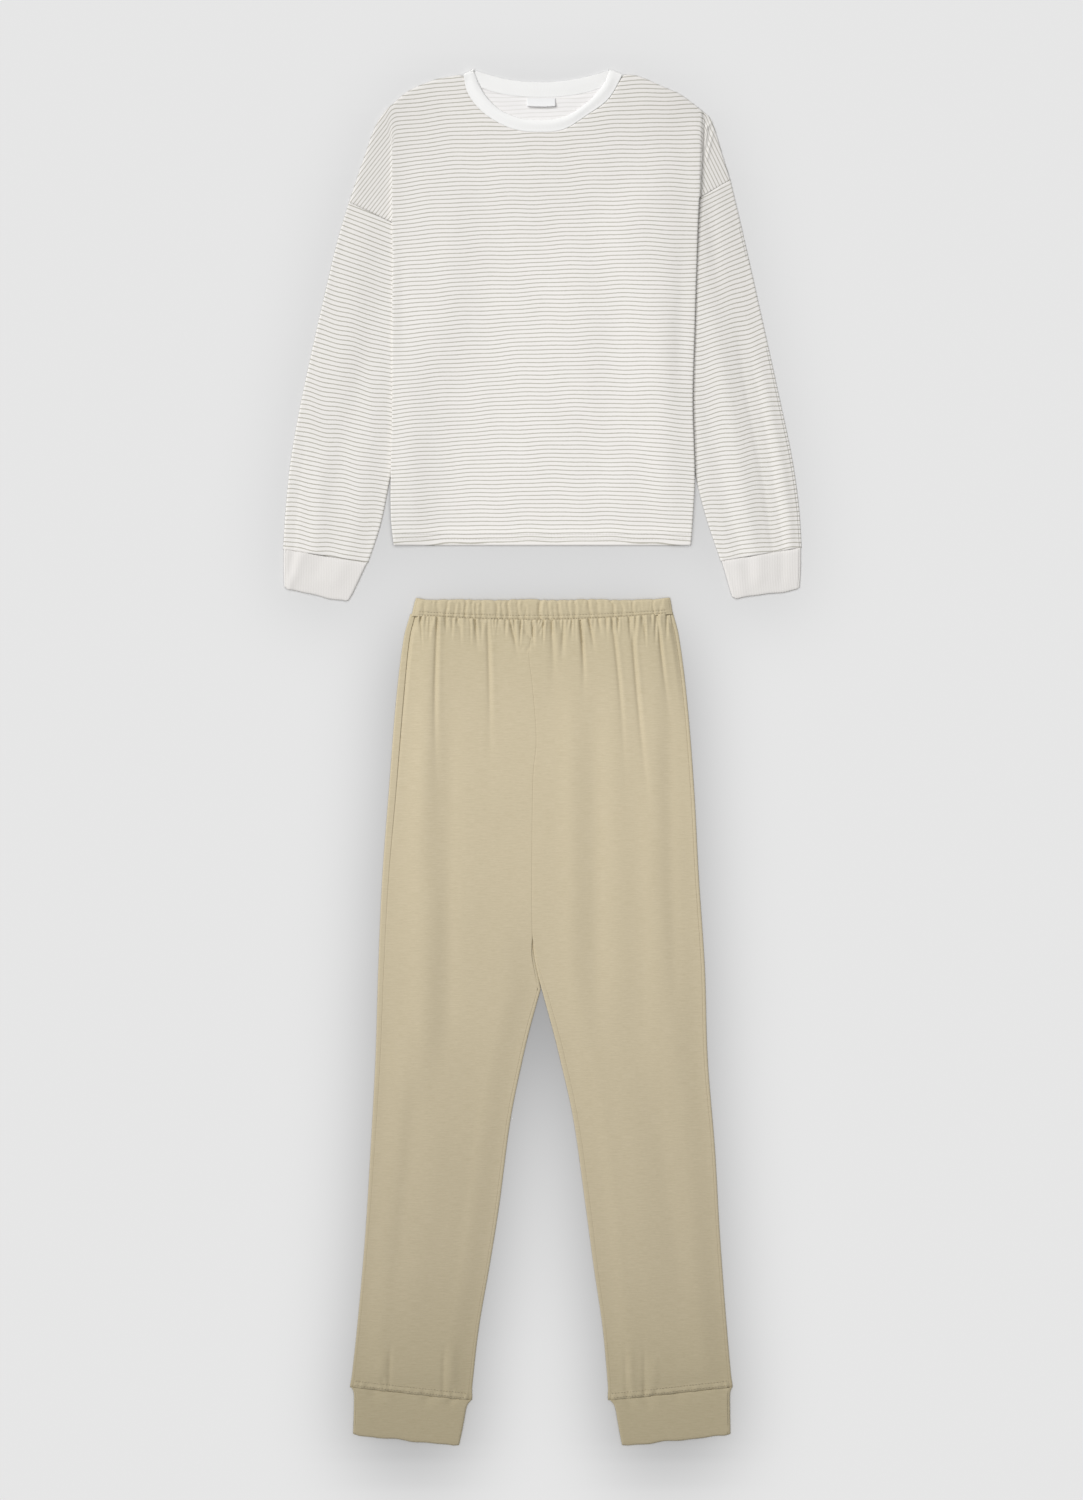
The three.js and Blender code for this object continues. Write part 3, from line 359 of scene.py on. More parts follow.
def small_folds(folds, across, down):
    """The depth of a table of small folds, each a straight line with soft ends."""
    total = np.zeros_like(across)
    for x, y, to_x, to_y, depth, width in zip(*folds.values()):
        run = math.hypot(to_x - x, to_y - y)
        past = ((across - x) * (to_x - x) + (down - y) * (to_y - y)) / run
        off = ((across - x) * (to_y - y) - (down - y) * (to_x - x)) / run
        ends = np.maximum(np.maximum(-past, past - run), 0)
        total += depth * bell(np.hypot(off, ends), width)
    return total


def ripple(across, down, turn):
    """Faint unevenness of cloth smoothed by hand, between -1 and 1."""
    waves = (
        np.sin(across / 17.3 + down / 61 + turn)
        + np.sin(across / 31.7 - down / 43 + 2.1 * turn)
        + np.sin(down / 23.9 + across / 87 + 3.7 * turn)
    )
    return waves / 3


def rim_fall(distance, fall=RIM_FALL, run=RIM):
    """How far an edge's upper face has rounded down, at a distance from that edge."""
    near = 1 - np.clip(distance / run, 0, 1)
    return fall * (1 - np.sqrt(1 - near * near))


def crimp(off):
    """A small pleat's section: a sharp valley with a soft ridge to its left side."""
    return 1.15 * bell(off) - 0.5 * bell(off - 2.2, 1.6)


# Shaping cloth from flat grids


class Cloth:
    """What a place function returns: points in millimetres, grain, and the thinning at rims."""

    def __init__(self, across, down, height, grain, at, thin=None):
        self.points = np.stack([across, at - down, height], axis=1) * MM
        self.grain = np.stack(grain, axis=1) * MM
        self.thin = np.zeros(len(across)) if thin is None else thin


def made(name, form, materials):
    """An object in the scene from a finished form, smooth all over."""
    for face in form.faces:
        face.smooth = True
    mesh = bpy.data.meshes.new(name.removesuffix("_cloth"))
    form.to_mesh(mesh)
    form.free()
    for material in materials:
        mesh.materials.append(material)
    thing = bpy.data.objects.new(name, mesh)
    bpy.context.scene.collection.objects.link(thing)
    return thing


def cloth_form(grids, thickness, turned):
    """One form from flat grids of cloth, each (columns, rows, place), welded where they meet."""
    form = bmesh.new()
    grain = form.loops.layers.uv.new("grain")
    full = form.verts.layers.float.new("full")
    for columns, rows, place in grids:
        before = len(form.verts)
        bmesh.ops.create_grid(form, x_segments=columns, y_segments=rows, size=0.5)
        form.verts.ensure_lookup_table()
        fresh = form.verts[before:]
        flat = np.array([vert.co for vert in fresh], float)
        cloth = place(flat[:, 0] + 0.5, 0.5 - flat[:, 1])
        values = zip(fresh, cloth.points.tolist(), cloth.thin, cloth.grain.tolist())
        for vert, point, thin, uv in values:
            vert.co = point
            vert[full] = 1 - thin / thickness
            for loop in vert.link_loops:
                loop[grain].uv = uv
    bmesh.ops.remove_doubles(form, verts=form.verts, dist=0.02 * MM)
    bmesh.ops.dissolve_degenerate(form, edges=form.edges, dist=0.01 * MM)
    if turned:
        bmesh.ops.reverse_faces(form, faces=form.faces)
    return form, [vert[full] for vert in form.verts]


def cloth_piece(name, grids, thickness, materials, slot_name, turned=False, **sheet):
    """A sewn piece: its shaped grids with the cloth's thickness, in place of its solid."""
    form, shares = cloth_form(grids, thickness, turned)
    piece = made(name + "_cloth", form, materials)
    group = piece.vertex_groups.new(name="full")
    for i, share in enumerate(shares):
        group.add([i], share, "REPLACE")
    shell = piece.modifiers.new("thickness", "SOLIDIFY")
    shell.thickness = thickness * MM
    shell.offset = -1
    shell.vertex_group = group.name
    shell.material_offset = shell.material_offset_rim = len(materials) - 1
    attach(piece, "root")
    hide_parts(name)


STITCH = 2.7
STITCH_GAP = 1.1


def stitches(name, place, steps, rows, material, girth):
    """Rows of stitches on a piece's outer face, each along one of its rows between two steps."""
    form = bmesh.new()
    for row in rows:
        s = np.linspace(*steps, 900)
        path = place(s, np.full_like(s, row)).points
        way = np.concatenate([[0], np.cumsum(np.linalg.norm(np.diff(path, axis=0), axis=1))]) / MM
        for start in np.arange(STITCH_GAP, way[-1] - STITCH, STITCH + STITCH_GAP):
            a, b = (
                Vector([np.interp(at, way, path[:, k]) for k in range(3)])
                for at in (start, start + STITCH)
            )
            middle = Matrix.Translation((a + b) / 2 + Vector((0, 0, 0.15 * girth * MM)))
            turn = (b - a).to_track_quat("X", "Z").to_matrix().to_4x4()
            size = Matrix.Diagonal(((b - a).length, girth * MM, girth * MM, 1))
            bmesh.ops.create_uvsphere(
                form, u_segments=6, v_segments=4, radius=0.5, matrix=middle @ turn @ size
            )
    piece = made(name, form, [material])
    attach(piece, "root")
    return piece


# The top's body

SHOULDER_SHARE = 1 / 6
BODY_LEVEL = 2 * JERSEY + SEAM
SLEEVE_RISE = 2 * JERSEY + 3 * SEAM
DROP_STRIPES_CLOSE = 1.24
SIDES = {
    -1: (PIVOT_RIGHT, UNDERARM_RIGHT, SLEEVE_RIGHT, DROP_EDGE_RIGHT, math.radians(52)),
    1: (PIVOT_LEFT, UNDERARM_LEFT, SLEEVE_LEFT, DROP_EDGE_LEFT, math.radians(64)),
}


def neck_place(rows, share):
    """Points of a neck table. Its ends leave room for the band to turn over the shoulder."""
    across, down = along(rows, share, "across", "down")
    half = RIB + SEAM / 2
    return across, down + half * (1 - ease(inward(share), 0, 0.12))


def beside_neckband(rows, share):
    """The same points on the edge of the panel that the neckband is sewn to."""
    across, down = neck_place(rows, share)
    middle = 8
    grow = 1 + MEET / np.hypot(across, down - middle)
    return across * grow, middle + (down - middle) * grow


def body_edge(neck_seam, share):
    """A panel's upper edge, from its right shoulder's end over the neck to its left one's."""
    right = along(SHOULDER_RIGHT, np.clip(share / SHOULDER_SHARE, 0, 1), "across", "down")
    left_share = np.clip((share - 1 + SHOULDER_SHARE) / SHOULDER_SHARE, 0, 1)
    left = along(SHOULDER_LEFT, left_share, "across", "down")
    neck_share = np.clip((share - SHOULDER_SHARE) / (1 - 2 * SHOULDER_SHARE), 0, 1)
    in_neck = inward(share) > SHOULDER_SHARE - 1e-5
    beside = np.where(share < 0.5, right, left)
    return np.where(in_neck, beside_neckband(neck_seam, neck_share), beside)


def rise_on_sleeve(across, down):
    """How far the body is lifted where a sleeve lies under it."""
    total = np.zeros_like(across)
    margin, run = 8, 75
    for sign, (pivot, underarm, sleeve, _, _) in SIDES.items():
        inner_downs = [pivot[1], *sleeve["in_down"]]
        inner = np.interp(down, inner_downs, [pivot[0], *sleeve["in_across"]])
        past = ease(sign * (across - inner), -margin - run, -margin)
        tilt = (sleeve["in_down"][0] - underarm[1]) / (sleeve["in_across"][0] - underarm[0])
        mouth = underarm[1] + tilt * (across - underarm[0])
        lifted = past * ease(down, pivot[1], mouth - margin)
        total = np.where(sign * across > 0, lifted, total)
    return SLEEVE_RISE * total


def stripe_sag(across, down):
    """How much lower a stripe of the body lies at a place than at the middle."""
    names = list(STRIPE_SAG)[1:]
    sags = np.stack([curve(STRIPE_SAG, "down", name, down) for name in names], axis=1)
    everyone = np.arange(len(across))
    return smooth_between(STRIPE_PLACES, lambda i: sags[everyone, i], across)


def body_grain(across, down):
    """Where a place of the body lies in the knitted cloth, along and across its stripes."""
    wander = 0.5 * np.sin(across / 15 + down / 38) + 0.35 * np.sin(across / 8.3 - down / 27)
    turned_up = 1.5 * ease(down, HEM_DOWN - 4.5, HEM_DOWN)
    return across, down - stripe_sag(across, down) + wander - turned_up


def turned_grain(across, down, sign, on_drop):
    """The body's grain, turned about a shoulder's pivot where the cloth hangs on as the drop."""
    pivot, turn = SIDES[sign][0], SIDES[sign][4]
    outward = sign * (across - pivot[0])
    fall = down - pivot[1]
    reach = np.hypot(outward, fall)
    run = lerp(10, 0.6, ease(reach, 15, 60))
    share = lerp(ease(outward, -run, run), float(on_drop), ease(reach, 40, 60))
    at_pivot = np.full_like(across, pivot[0])
    u, v = body_grain(at_pivot if on_drop else across, down)
    start = body_grain(at_pivot, np.full_like(down, pivot[1]))[1]
    turned_u = fall * np.sin(turn) + outward * np.cos(turn)
    turned_v = start + DROP_STRIPES_CLOSE * (fall * np.cos(turn) - outward * np.sin(turn))
    return lerp(u, turned_u, share), lerp(v, turned_v, share)


def body_place(neck_seam, height_at, rounded, rows):
    """The place function of the part of a panel between its two side creases."""
    upper_rows, lower_rows, hem_rows = rows

    def place(s, t):
        edge_across, edge_down = body_edge(neck_seam, s)
        share = spread(s, 0.4)
        at_underarms, underarm_down = (lerp(UNDERARM_RIGHT[k], UNDERARM_LEFT[k], share) for k in (0, 1))
        row = t * sum(rows)
        upper = np.clip(row / upper_rows, 0, 1)
        lower = np.clip((row - upper_rows) / lower_rows, 0, 1)
        hem = np.clip((row - upper_rows - lower_rows) / hem_rows, 0, 1)
        below = row > upper_rows + 1e-3
        lower_down = lerp(underarm_down, HEM_DOWN - HEM_DEPTH, lower) + HEM_DEPTH * hem
        down = np.where(below, lower_down, lerp(edge_down, underarm_down, upper))
        right, left = (curve(BODY_SIDES, "down", name, down) for name in ("right", "left"))
        across = np.where(below, lerp(right, left, share), lerp(edge_across, at_underarms, upper))
        side = np.minimum(across - right, left - across)
        edge = np.where(below, side, down - edge_down)
        rim = np.where(below & (across < 0), 0.12, RIM_FALL)
        fall = rounded * (rim_fall(edge, rim) + rim_fall(HEM_DOWN - down, 0.2, 1))
        grain = np.where(across > 0, *(turned_grain(across, down, sign, False) for sign in (1, -1)))
        return Cloth(across, down, height_at(across, down, side) - fall, grain, TOP_AT, fall)

    return place


def drop_place(sign, height_at, rounded):
    """The place function of a dropped shoulder, from its outer edge to the crease beside it."""
    pivot, underarm, _, edge_rows, _ = SIDES[sign]
    level = BODY_LEVEL if rounded else JERSEY
    length = np.hypot(underarm[1] - pivot[1], underarm[0] - pivot[0])

    def place(s, t):
        out = (s if sign > 0 else 1 - s) ** 1.3
        crease_across, crease_down = (lerp(pivot[k], underarm[k], t) for k in (0, 1))
        edge_across, edge_down = along(edge_rows, t, "across", "down")
        across = lerp(crease_across, edge_across, out)
        down = lerp(crease_down, edge_down, out)
        width = np.abs(edge_across - crease_across)
        step = 1 - ease(out * width, 0, np.minimum(CREASE_RUN, 0.5 * width) + 1e-6)
        fall = rounded * rim_fall(np.minimum((1 - out) * width, (1 - t) * length)) * (out > 0)
        height = lerp(level, height_at(crease_across, crease_down, 0 * t), step) - fall
        if sign > 0:
            height = height + small_folds(SHOULDER_FOLDS, across, down)
        return Cloth(across, down, height, turned_grain(across, down, sign, True), TOP_AT, fall)

    return place


def panel_grids(neck_seam, height_at, rounded, columns, drop_columns, rows):
    """A body panel's middle and its two dropped shoulders. The front's edges are rounded."""
    drops = [(drop_columns, rows[0], drop_place(sign, height_at, rounded)) for sign in (-1, 1)]
    return [(columns, sum(rows), body_place(neck_seam, height_at, rounded, rows)), *drops]


def front_height(across, down, side):
    """The front's upper face: over the sleeves, with air under its middle and its long folds."""
    ends = ease(HEM_DOWN - down, 0, 60) * ease(down, 60, 160)
    air = 1.4 * ease(side, 0, 45) * ends
    folds = fold_height(BODY_FOLDS, across, down) * ease(side, 0, 12)
    uneven = 0.3 * ripple(across, down, 0.4) * ease(side, 0, 20) * ease(down, 80, 130)
    hem = HEM_FOLD * ease(down, HEM_DOWN - HEM_DEPTH - 1, HEM_DOWN - HEM_DEPTH + 2)
    stands = 2.4 * (across > 0) * bell(side, 13) * ease(down, 54, 84)
    stands = stands * (1 - 0.6 * ease(down, 150, 260) - 0.3 * ease(down, 420, 560))
    return BODY_LEVEL + rise_on_sleeve(across, down) + air + folds + uneven + hem + stands


def back_height(across, down, side):
    return JERSEY + rise_on_sleeve(across, down)


# Tubes pressed flat

TUBE_SHARES = (0, 0.54, 0.62, 0.92, 1)  # upper layer, inner turn, under layer, outer turn
TUBE_COLUMNS = 100
FOLDED_EDGE = 2.6  # how far in a folded edge is rounded


def tube_place(at, rings, thickness, lift, grain=None, bow=None, joins=(0, 0), falls=((0.5, 1.8),) * 2):
    """The place function of a tube pressed flat, as rings of cloth from its top to its bottom.
    Joins says how far the tube runs on into what it is sewn to, at its top and its bottom, and
    falls how its upper layer comes down there. Without a grain function, ribs run down it."""
    height = 2 * thickness + SEAM
    half = height / 2
    length = np.hypot(*[rings[k][-1] - rings[k][0] for k in ("out_across", "out_down")])

    def place(s, t):
        t = spread(t, 0.35)
        start_across, start_down, end_across, end_down = along(rings, t, *rings)
        width = np.hypot(end_across - start_across, end_down - start_down)
        phase = np.interp(s, TUBE_SHARES, range(5))
        flat = width - 2 * FOLDED_EDGE
        in_turn = np.radians(90 - 180 * (phase - 1))
        out_turn = np.radians(180 * (phase - 3) - 90)
        offset = by_phase(
            phase,
            FOLDED_EDGE + spread(phase, 0.25) * flat,
            width - FOLDED_EDGE + FOLDED_EDGE * np.cos(in_turn),
            FOLDED_EDGE + (3 - phase) * flat,
            FOLDED_EDGE - FOLDED_EDGE * np.cos(out_turn),
        )
        level = by_phase(phase, height, half + half * np.sin(in_turn), 0, half + half * np.sin(out_turn))
        share = offset / width
        across = lerp(start_across, end_across, share)
        down = lerp(start_down, end_down, share) + lerp(-joins[0], joins[1], t)
        if bow:
            down = down + bow(across, share, t)
        laid = grain(across, down, offset, t) if grain else (offset, down)
        on_top = phase <= 1
        fall = on_top * (rim_fall(t * length, *falls[0]) + rim_fall((1 - t) * length, *falls[1]))
        raised = level + on_top * lift(share, t, across, down) - fall
        return Cloth(across, down, raised, laid, at, np.minimum(fall, 0.5 * thickness))

    return place


def sleeve_lift(folds, turn):
    """How a sleeve's upper layer stands proud: its folds, a little air and its seam to the cuff."""

    def lift(share, t, across, down):
        air = 1.2 * np.sin(np.pi * share) + 0.3 * ripple(across, down, turn)
        raised = np.maximum(1.2 * fold_height(folds, share, t) + air, -0.1)
        seam = 0.25 * ease(t, 0.97, 0.996) * ease(inward(share), 0, 0.04)
        return raised * ease(inward(share), 0, 0.14) + seam

    return lift


def sleeve_grain(rings, tilt, turn):
    """Stripes across a sleeve, which fall towards its inner edge."""
    middle_across = (rings["out_across"] + rings["in_across"]) / 2
    middle_down = (rings["out_down"] + rings["in_down"]) / 2

    def grain(across, down, offset, t):
        slope = np.interp(down, tilt["down"], tilt["slope"])
        middle = np.interp(down, middle_down, middle_across)
        wave = 0.9 * np.sin(across / 8.5 + down / 90 + turn) + 0.4 * np.sin(across / 5.1 - down / 40)
        return offset, 0.97 * (down - slope * (across - middle)) + wave * ease(t, 0.05, 0.5)

    return grain


def cuff_lift(folds):
    def lift(share, t, across, down):
        crown = 0.9 * np.sin(np.pi * share) * np.sin(np.pi * np.clip(t, 0, 1))
        return crown + fold_height(folds, share, t) * ease(inward(share), 0, 0.12)

    return lift


def cuff_bow(corner):
    """A cuff's lower edge is a little wavy, and its two corners are rounded off."""

    def bow(across, share, t):
        wave = 0.6 * np.sin(across / 9) + 0.4 * np.sin(across / 5.3 + 1)
        near = 1 - ease(inward(share), 0, 0.06)
        return (wave * ease(inward(share), 0, 0.1) - corner * near) * ease(t, 0.75, 1)

    return bow


# The neckband

NECK_SHARES = (0, 0.5, 0.54, 0.96, 1)  # front half, left turn, back half, right turn
NECK_WIDTH = 19


def neckband_place(s, t):
    """The neckband is a ring. Its front half lies above, its back half below."""
    height = 2 * RIB + SEAM
    phase = np.interp(s, NECK_SHARES, range(5))
    share = by_phase(phase, phase, 1, 3 - phase, 0)
    on_top, in_back = phase <= 1, (phase > 2) & (phase < 3)
    front, back = (
        lerp(*(np.array(neck_place(rows, share)) for rows in both), t)
        for both in ((NECK_EDGE_FRONT, NECK_SEAM_FRONT), (NECK_EDGE_BACK, NECK_SEAM_BACK))
    )
    across, down = np.where(in_back, back, front)
    angle = np.radians(by_phase(phase, 90, 90 - 180 * (phase - 1), -90, 180 * (phase - 3) - 90))
    flush = ease(inward(share), 0, 0.05) * ease(t, 0.3, 0.95)
    inner_fall = rim_fall(t * NECK_WIDTH, 1.9, 9)
    fall = on_top * ((height - BODY_LEVEL - 0.1) * flush + inner_fall)
    thin = np.where(on_top, 0.7 * flush + 0.65 * inner_fall, in_back * 0.75 * ease(t, 0.3, 1))
    grain = (share * 300 + 400 * in_back, t * NECK_WIDTH)
    level = height / 2 * (1 + np.sin(angle)) - fall
    return Cloth(across, down - height / 2 * np.cos(angle), level, grain, TOP_AT, thin)


# The trousers

LEG_LEVEL = 2 * TROUSER_JERSEY + SEAM
LEG_ROW_SHARES = (0, 0.34, 0.9, 1)
LEG_ROW_DOWNS = (WAIST_DOWN, 150, 940, ANKLE_DOWN + 0.7)


def ankle_drop(down, share):
    return ANKLE_DROP * ease(down, ANKLE_DROP_FROM, ANKLE_DOWN) * share


def waist_down(across):
    """The waistband's lower edge, and with it the panels' upper edges."""
    right, left = WAISTBAND["out_across"][1], WAISTBAND["in_across"][1]
    share = (across - right) / (left - right)
    ends = lerp(WAISTBAND["out_down"][1], WAISTBAND["in_down"][1], share)
    return ends + WAISTBAND_SAG * 4 * share * (1 - share) + 1.2


def leg_places(leg, down):
    """How far out a leg's two edges and the seams on its front are, at a place down its length."""
    outside, inside = leg["outside"], leg["inside"]
    inner = np.maximum(down + ankle_drop(down, 1), CROTCH_DOWN)
    centre = leg["sign"] * curve(CENTRE_SEAM, "down", "across", np.minimum(down, CROTCH_DOWN))
    fork = (FORK_DOWN, FORK_DOWN + FORK_RUN, CROTCH_DOWN)
    fork_width = np.interp(down, fork, (0, FORK_SEAM, inside["seam"][0]))
    below = down > CROTCH_DOWN
    width = np.where(below, curve(inside, "down", "seam", inner), fork_width)
    flare = 1.6 * ease(down, ANKLE_DOWN - 16, ANKLE_DOWN)
    edge = np.where(below, curve(inside, "down", "out", inner) - flare, centre + MEET / 2)
    outer = curve(outside, "down", "out", down) + 0.5 * flare
    return outer, outer - curve(outside, "down", "seam", down), edge, edge + width


def leg_down(leg, down, out, share):
    """The level of a row of the leg at a share of the way in from its outer edge."""
    bow = waist_down(leg["sign"] * out) + MEET_WAIST - WAIST_DOWN
    return down + bow * (1 - ease(down, WAIST_DOWN, 150)) + ankle_drop(down, share)


def valleys(across, down):
    """The depth of the gathers' valleys, each a sharp line in a softer hollow."""
    total = np.zeros_like(across)
    for x, lean, length, depth, width in zip(*GATHERS.values()):
        way = (down - WAIST_DOWN) / length
        run = np.clip(way, 0, 1)
        bend = 0.02 * length * math.sin(1.9 * x) * np.sin(np.pi * run)
        off = (across - x - lean * way - bend) / (width * (0.6 + 0.5 * run))
        sharp = crimp(off * 2.2) * (1 - ease(way, 0.15, 0.8))
        long = 1 - 0.7 * ease(length, 60, 220)
        section = long * bell(off) + (0.4 + 0.6 * long) * sharp
        total += 1.1 * depth * section * (1 - ease(way, 0.2, 1.05))
    for i in range(MINOR_GATHERS):
        x = -159 + 5.9 * i + 2.2 * math.sin(2.4 * i)
        way = (down - WAIST_DOWN) / (14 + 34 * math.sin(1.7 * i) ** 2)
        off = (across - x - 2.5 * math.sin(1.3 * i) * way) / (1.3 + 0.3 * math.sin(5.1 * i))
        total += (1.6 + 0.8 * math.sin(3.1 * i)) * crimp(off) * (1 - ease(way, 0.2, 1))
    return total


def ankle_lift(leg, across, down, share):
    """The ridge that the cuff's seam makes along a leg's end, and the puckers above it."""
    above = ANKLE_DOWN - down
    wavy = 1 + 0.3 * np.sin(across / 1.9) + 0.25 * np.sin(across / 4.7 + 1)
    ridge = bell(above - 3.8 - 0.8 * np.sin(across / 14), 2.2) * wavy
    lip = 0.8 + 0.5 * np.sin(across / 5.1 + 2) + 0.3 * np.sin(across / 2.3)
    total = ridge + lip * (1 - ease(above, 0, 9))
    for place, lean, length, depth, width in zip(*leg["puckers"].values()):
        way = above / length
        off = (across - place - lean * way) / width
        total -= depth * crimp(off) * (1 - ease(way, 0, 1)) * (above >= 0)
    return total * ease(inward(share), 0, 0.03)


def trouser_front_place(leg):
    def place(s, t):
        down = np.interp(t, LEG_ROW_SHARES, LEG_ROW_DOWNS)
        outer, outer_seam, edge, inner_seam = leg_places(leg, down)
        share = spread(s, 0.3)
        out = lerp(outer_seam - MEET / 2, inner_seam + MEET / 2, share)
        across = leg["sign"] * out
        at = leg_down(leg, down, out, share)
        inner_soft = lerp(1, ease(1 - share, 0, 0.22), ease(down, FORK_DOWN - 60, CROTCH_DOWN))
        soft = ease(share, 0, 0.22) * inner_soft
        fullness = 3 * (1 - ease(down, 20, 190)) * ease(share, 0, 0.04)
        crown = 3.2 * soft * ease(ANKLE_DOWN + 12 - down, 0, 40)
        folds = fold_height(LEG_FOLDS, across, at) * ease(inward(share), 0, 0.06)
        uneven = 0.35 * ripple(across, down, 1.3) * soft
        lift = crown + fullness + folds + uneven + ankle_lift(leg, across, down, share)
        lift = np.maximum(lift - valleys(across, at) - small_folds(CENTRE_FOLDS, across, at), -0.1)
        width = np.abs(inner_seam - outer_seam)
        groove = leg["groove"] * (1 - ease(down, 60, 420)) * bell(share * width, 2.2)
        sides = rim_fall(inward(share) * width, SEAM_FALL) + groove
        ends = rim_fall(at - waist_down(across) - MEET_WAIST, 1.3, 3.5)
        thin = np.minimum(sides + 0.6 * ends, 0.8 * TROUSER_JERSEY)
        return Cloth(across, at, LEG_LEVEL + lift - sides - ends, (across, at), TROUSERS_AT, thin)

    return place


BACK_SHARES = (0, 0.08, 0.22, 0.78, 0.92, 1)  # strip, outer turn, under layer, inner turn, strip
EDGE_RUN = 2.4


def trouser_back_place(leg):
    half = LEG_LEVEL / 2

    def place(s, t):
        down = np.interp(t, LEG_ROW_SHARES, LEG_ROW_DOWNS)
        outer, outer_seam, edge, inner_seam = leg_places(leg, down)
        opened = np.interp(down, (FORK_DOWN - 12, FORK_DOWN), (0, 1))
        run_in = np.minimum(EDGE_RUN, 0.8 * (inner_seam - edge) + 1e-6)
        phase = np.interp(s, BACK_SHARES, range(6))
        out_most, in_most = outer - EDGE_RUN, edge + run_in
        out_angle = np.radians(90 - 180 * (phase - 1))
        in_angle = np.radians(180 * (phase - 3) - 90)
        out = by_phase(
            phase,
            lerp(outer_seam + MEET / 2, out_most, phase),
            out_most + EDGE_RUN * np.cos(out_angle),
            lerp(out_most, in_most, phase - 2),
            in_most - run_in * np.cos(in_angle),
            lerp(in_most, inner_seam - MEET / 2, phase - 4),
        )
        turns = [half + half * np.sin(angle) for angle in (out_angle, in_angle)]
        height = by_phase(phase, LEG_LEVEL, turns[0], 0, turns[1], LEG_LEVEL)
        inner_part = phase > 3
        out = np.where(inner_part, lerp(edge, out, opened), out)
        height = np.where(inner_part, height * opened, height)
        share = np.clip((outer - out) / (outer - edge), 0, 1)
        at = leg_down(leg, down, out, share)
        across = leg["sign"] * out
        seam = rim_fall(np.where(phase < 1, phase * 6, (5 - phase) * 4), SEAM_FALL)
        fall = seam * ((phase < 1) | (phase > 4))
        closed = inner_part * 0.98 * TROUSER_JERSEY * (1 - opened * opened)
        height = np.maximum(height - fall, 0)
        return Cloth(across, at, height, (across, at), TROUSERS_AT, np.maximum(fall, closed))

    return place


def waistband_lift(share, t, across, down):
    """The band's pleats: sharp short valleys between soft ridges, over the elastic."""
    crown = 2.5 * (0.65 + 0.35 * np.sin(np.pi * np.clip(t, 0, 1)))
    total = np.zeros_like(across)
    for x, lean, start, end, depth, width in zip(*WAISTBAND_PLEATS.values()):
        bend = 1.3 * math.sin(1.7 * x) * np.sin(np.pi * t) + 0.5 * np.sin(9 * t + x)
        off = (across - x - lean * t - bend) / (0.78 * width)
        reach = ease(t, start - 0.25, start + 0.15) * (1 - 0.45 * ease(t, end - 0.2, end + 0.1))
        total += depth * (1.15 * crimp(off) + 0.25 * bell(off, 3)) * reach
    for i in range(MINOR_PLEATS):
        x = -157 + 5.5 * i + 1.7 * math.sin(2.9 * i)
        middle = 0.5 + 0.4 * math.sin(1.3 * i)
        off = (across - x - 3 * math.sin(4.1 * i) * (t - middle)) / (0.9 + 0.3 * math.sin(5.3 * i))
        total += (0.5 + 0.4 * math.sin(3.7 * i)) * crimp(off) * bell(t - middle, 0.3)
    for row in BAND_STITCHES:
        total += 0.5 * bell(t - row, 0.035)
    knot = 1.6 * bell(across + 4.5 - 3 * t, 1.5) * ease(t, 0.15, 0.3)
    rolls = rim_fall(t * 24, 1.2, 5) + rim_fall((1 - t) * 24, 0.9, 3.5)
    return (np.maximum(crown - total - knot, -0.1) - rolls) * ease(inward(share), 0, 0.03)


def waistband_bow(across, share, t):
    """The band's lower edge sags at its middle, and its upper edge is drawn in at each pleat."""
    sag = (WAISTBAND_SAG * 4 * share * (1 - share) + 1.2) * t
    drawn = np.zeros_like(across)
    for x, depth in zip(WAISTBAND_PLEATS["across"], WAISTBAND_PLEATS["depth"]):
        drawn += 0.6 * depth * bell(across - x, 3)
    dip = 2.4 + 2 * ease(inward(share), 0, 0.06) + 0.5 * np.sin(across / 13)
    return sag + (drawn + dip) * (1 - ease(t, 0, 0.4))


# Finishes


def srgb(*levels):
    """A colour of the photo's kind, 0 to 255, as the linear colour that a shader takes."""
    shares = (level / 255 for level in levels)
    return [c / 12.92 if c <= 0.04045 else ((c + 0.055) / 1.055) ** 2.4 for c in shares]


def toned(colour, tone=1.0):
    return (*(c * tone for c in colour), 1.0)


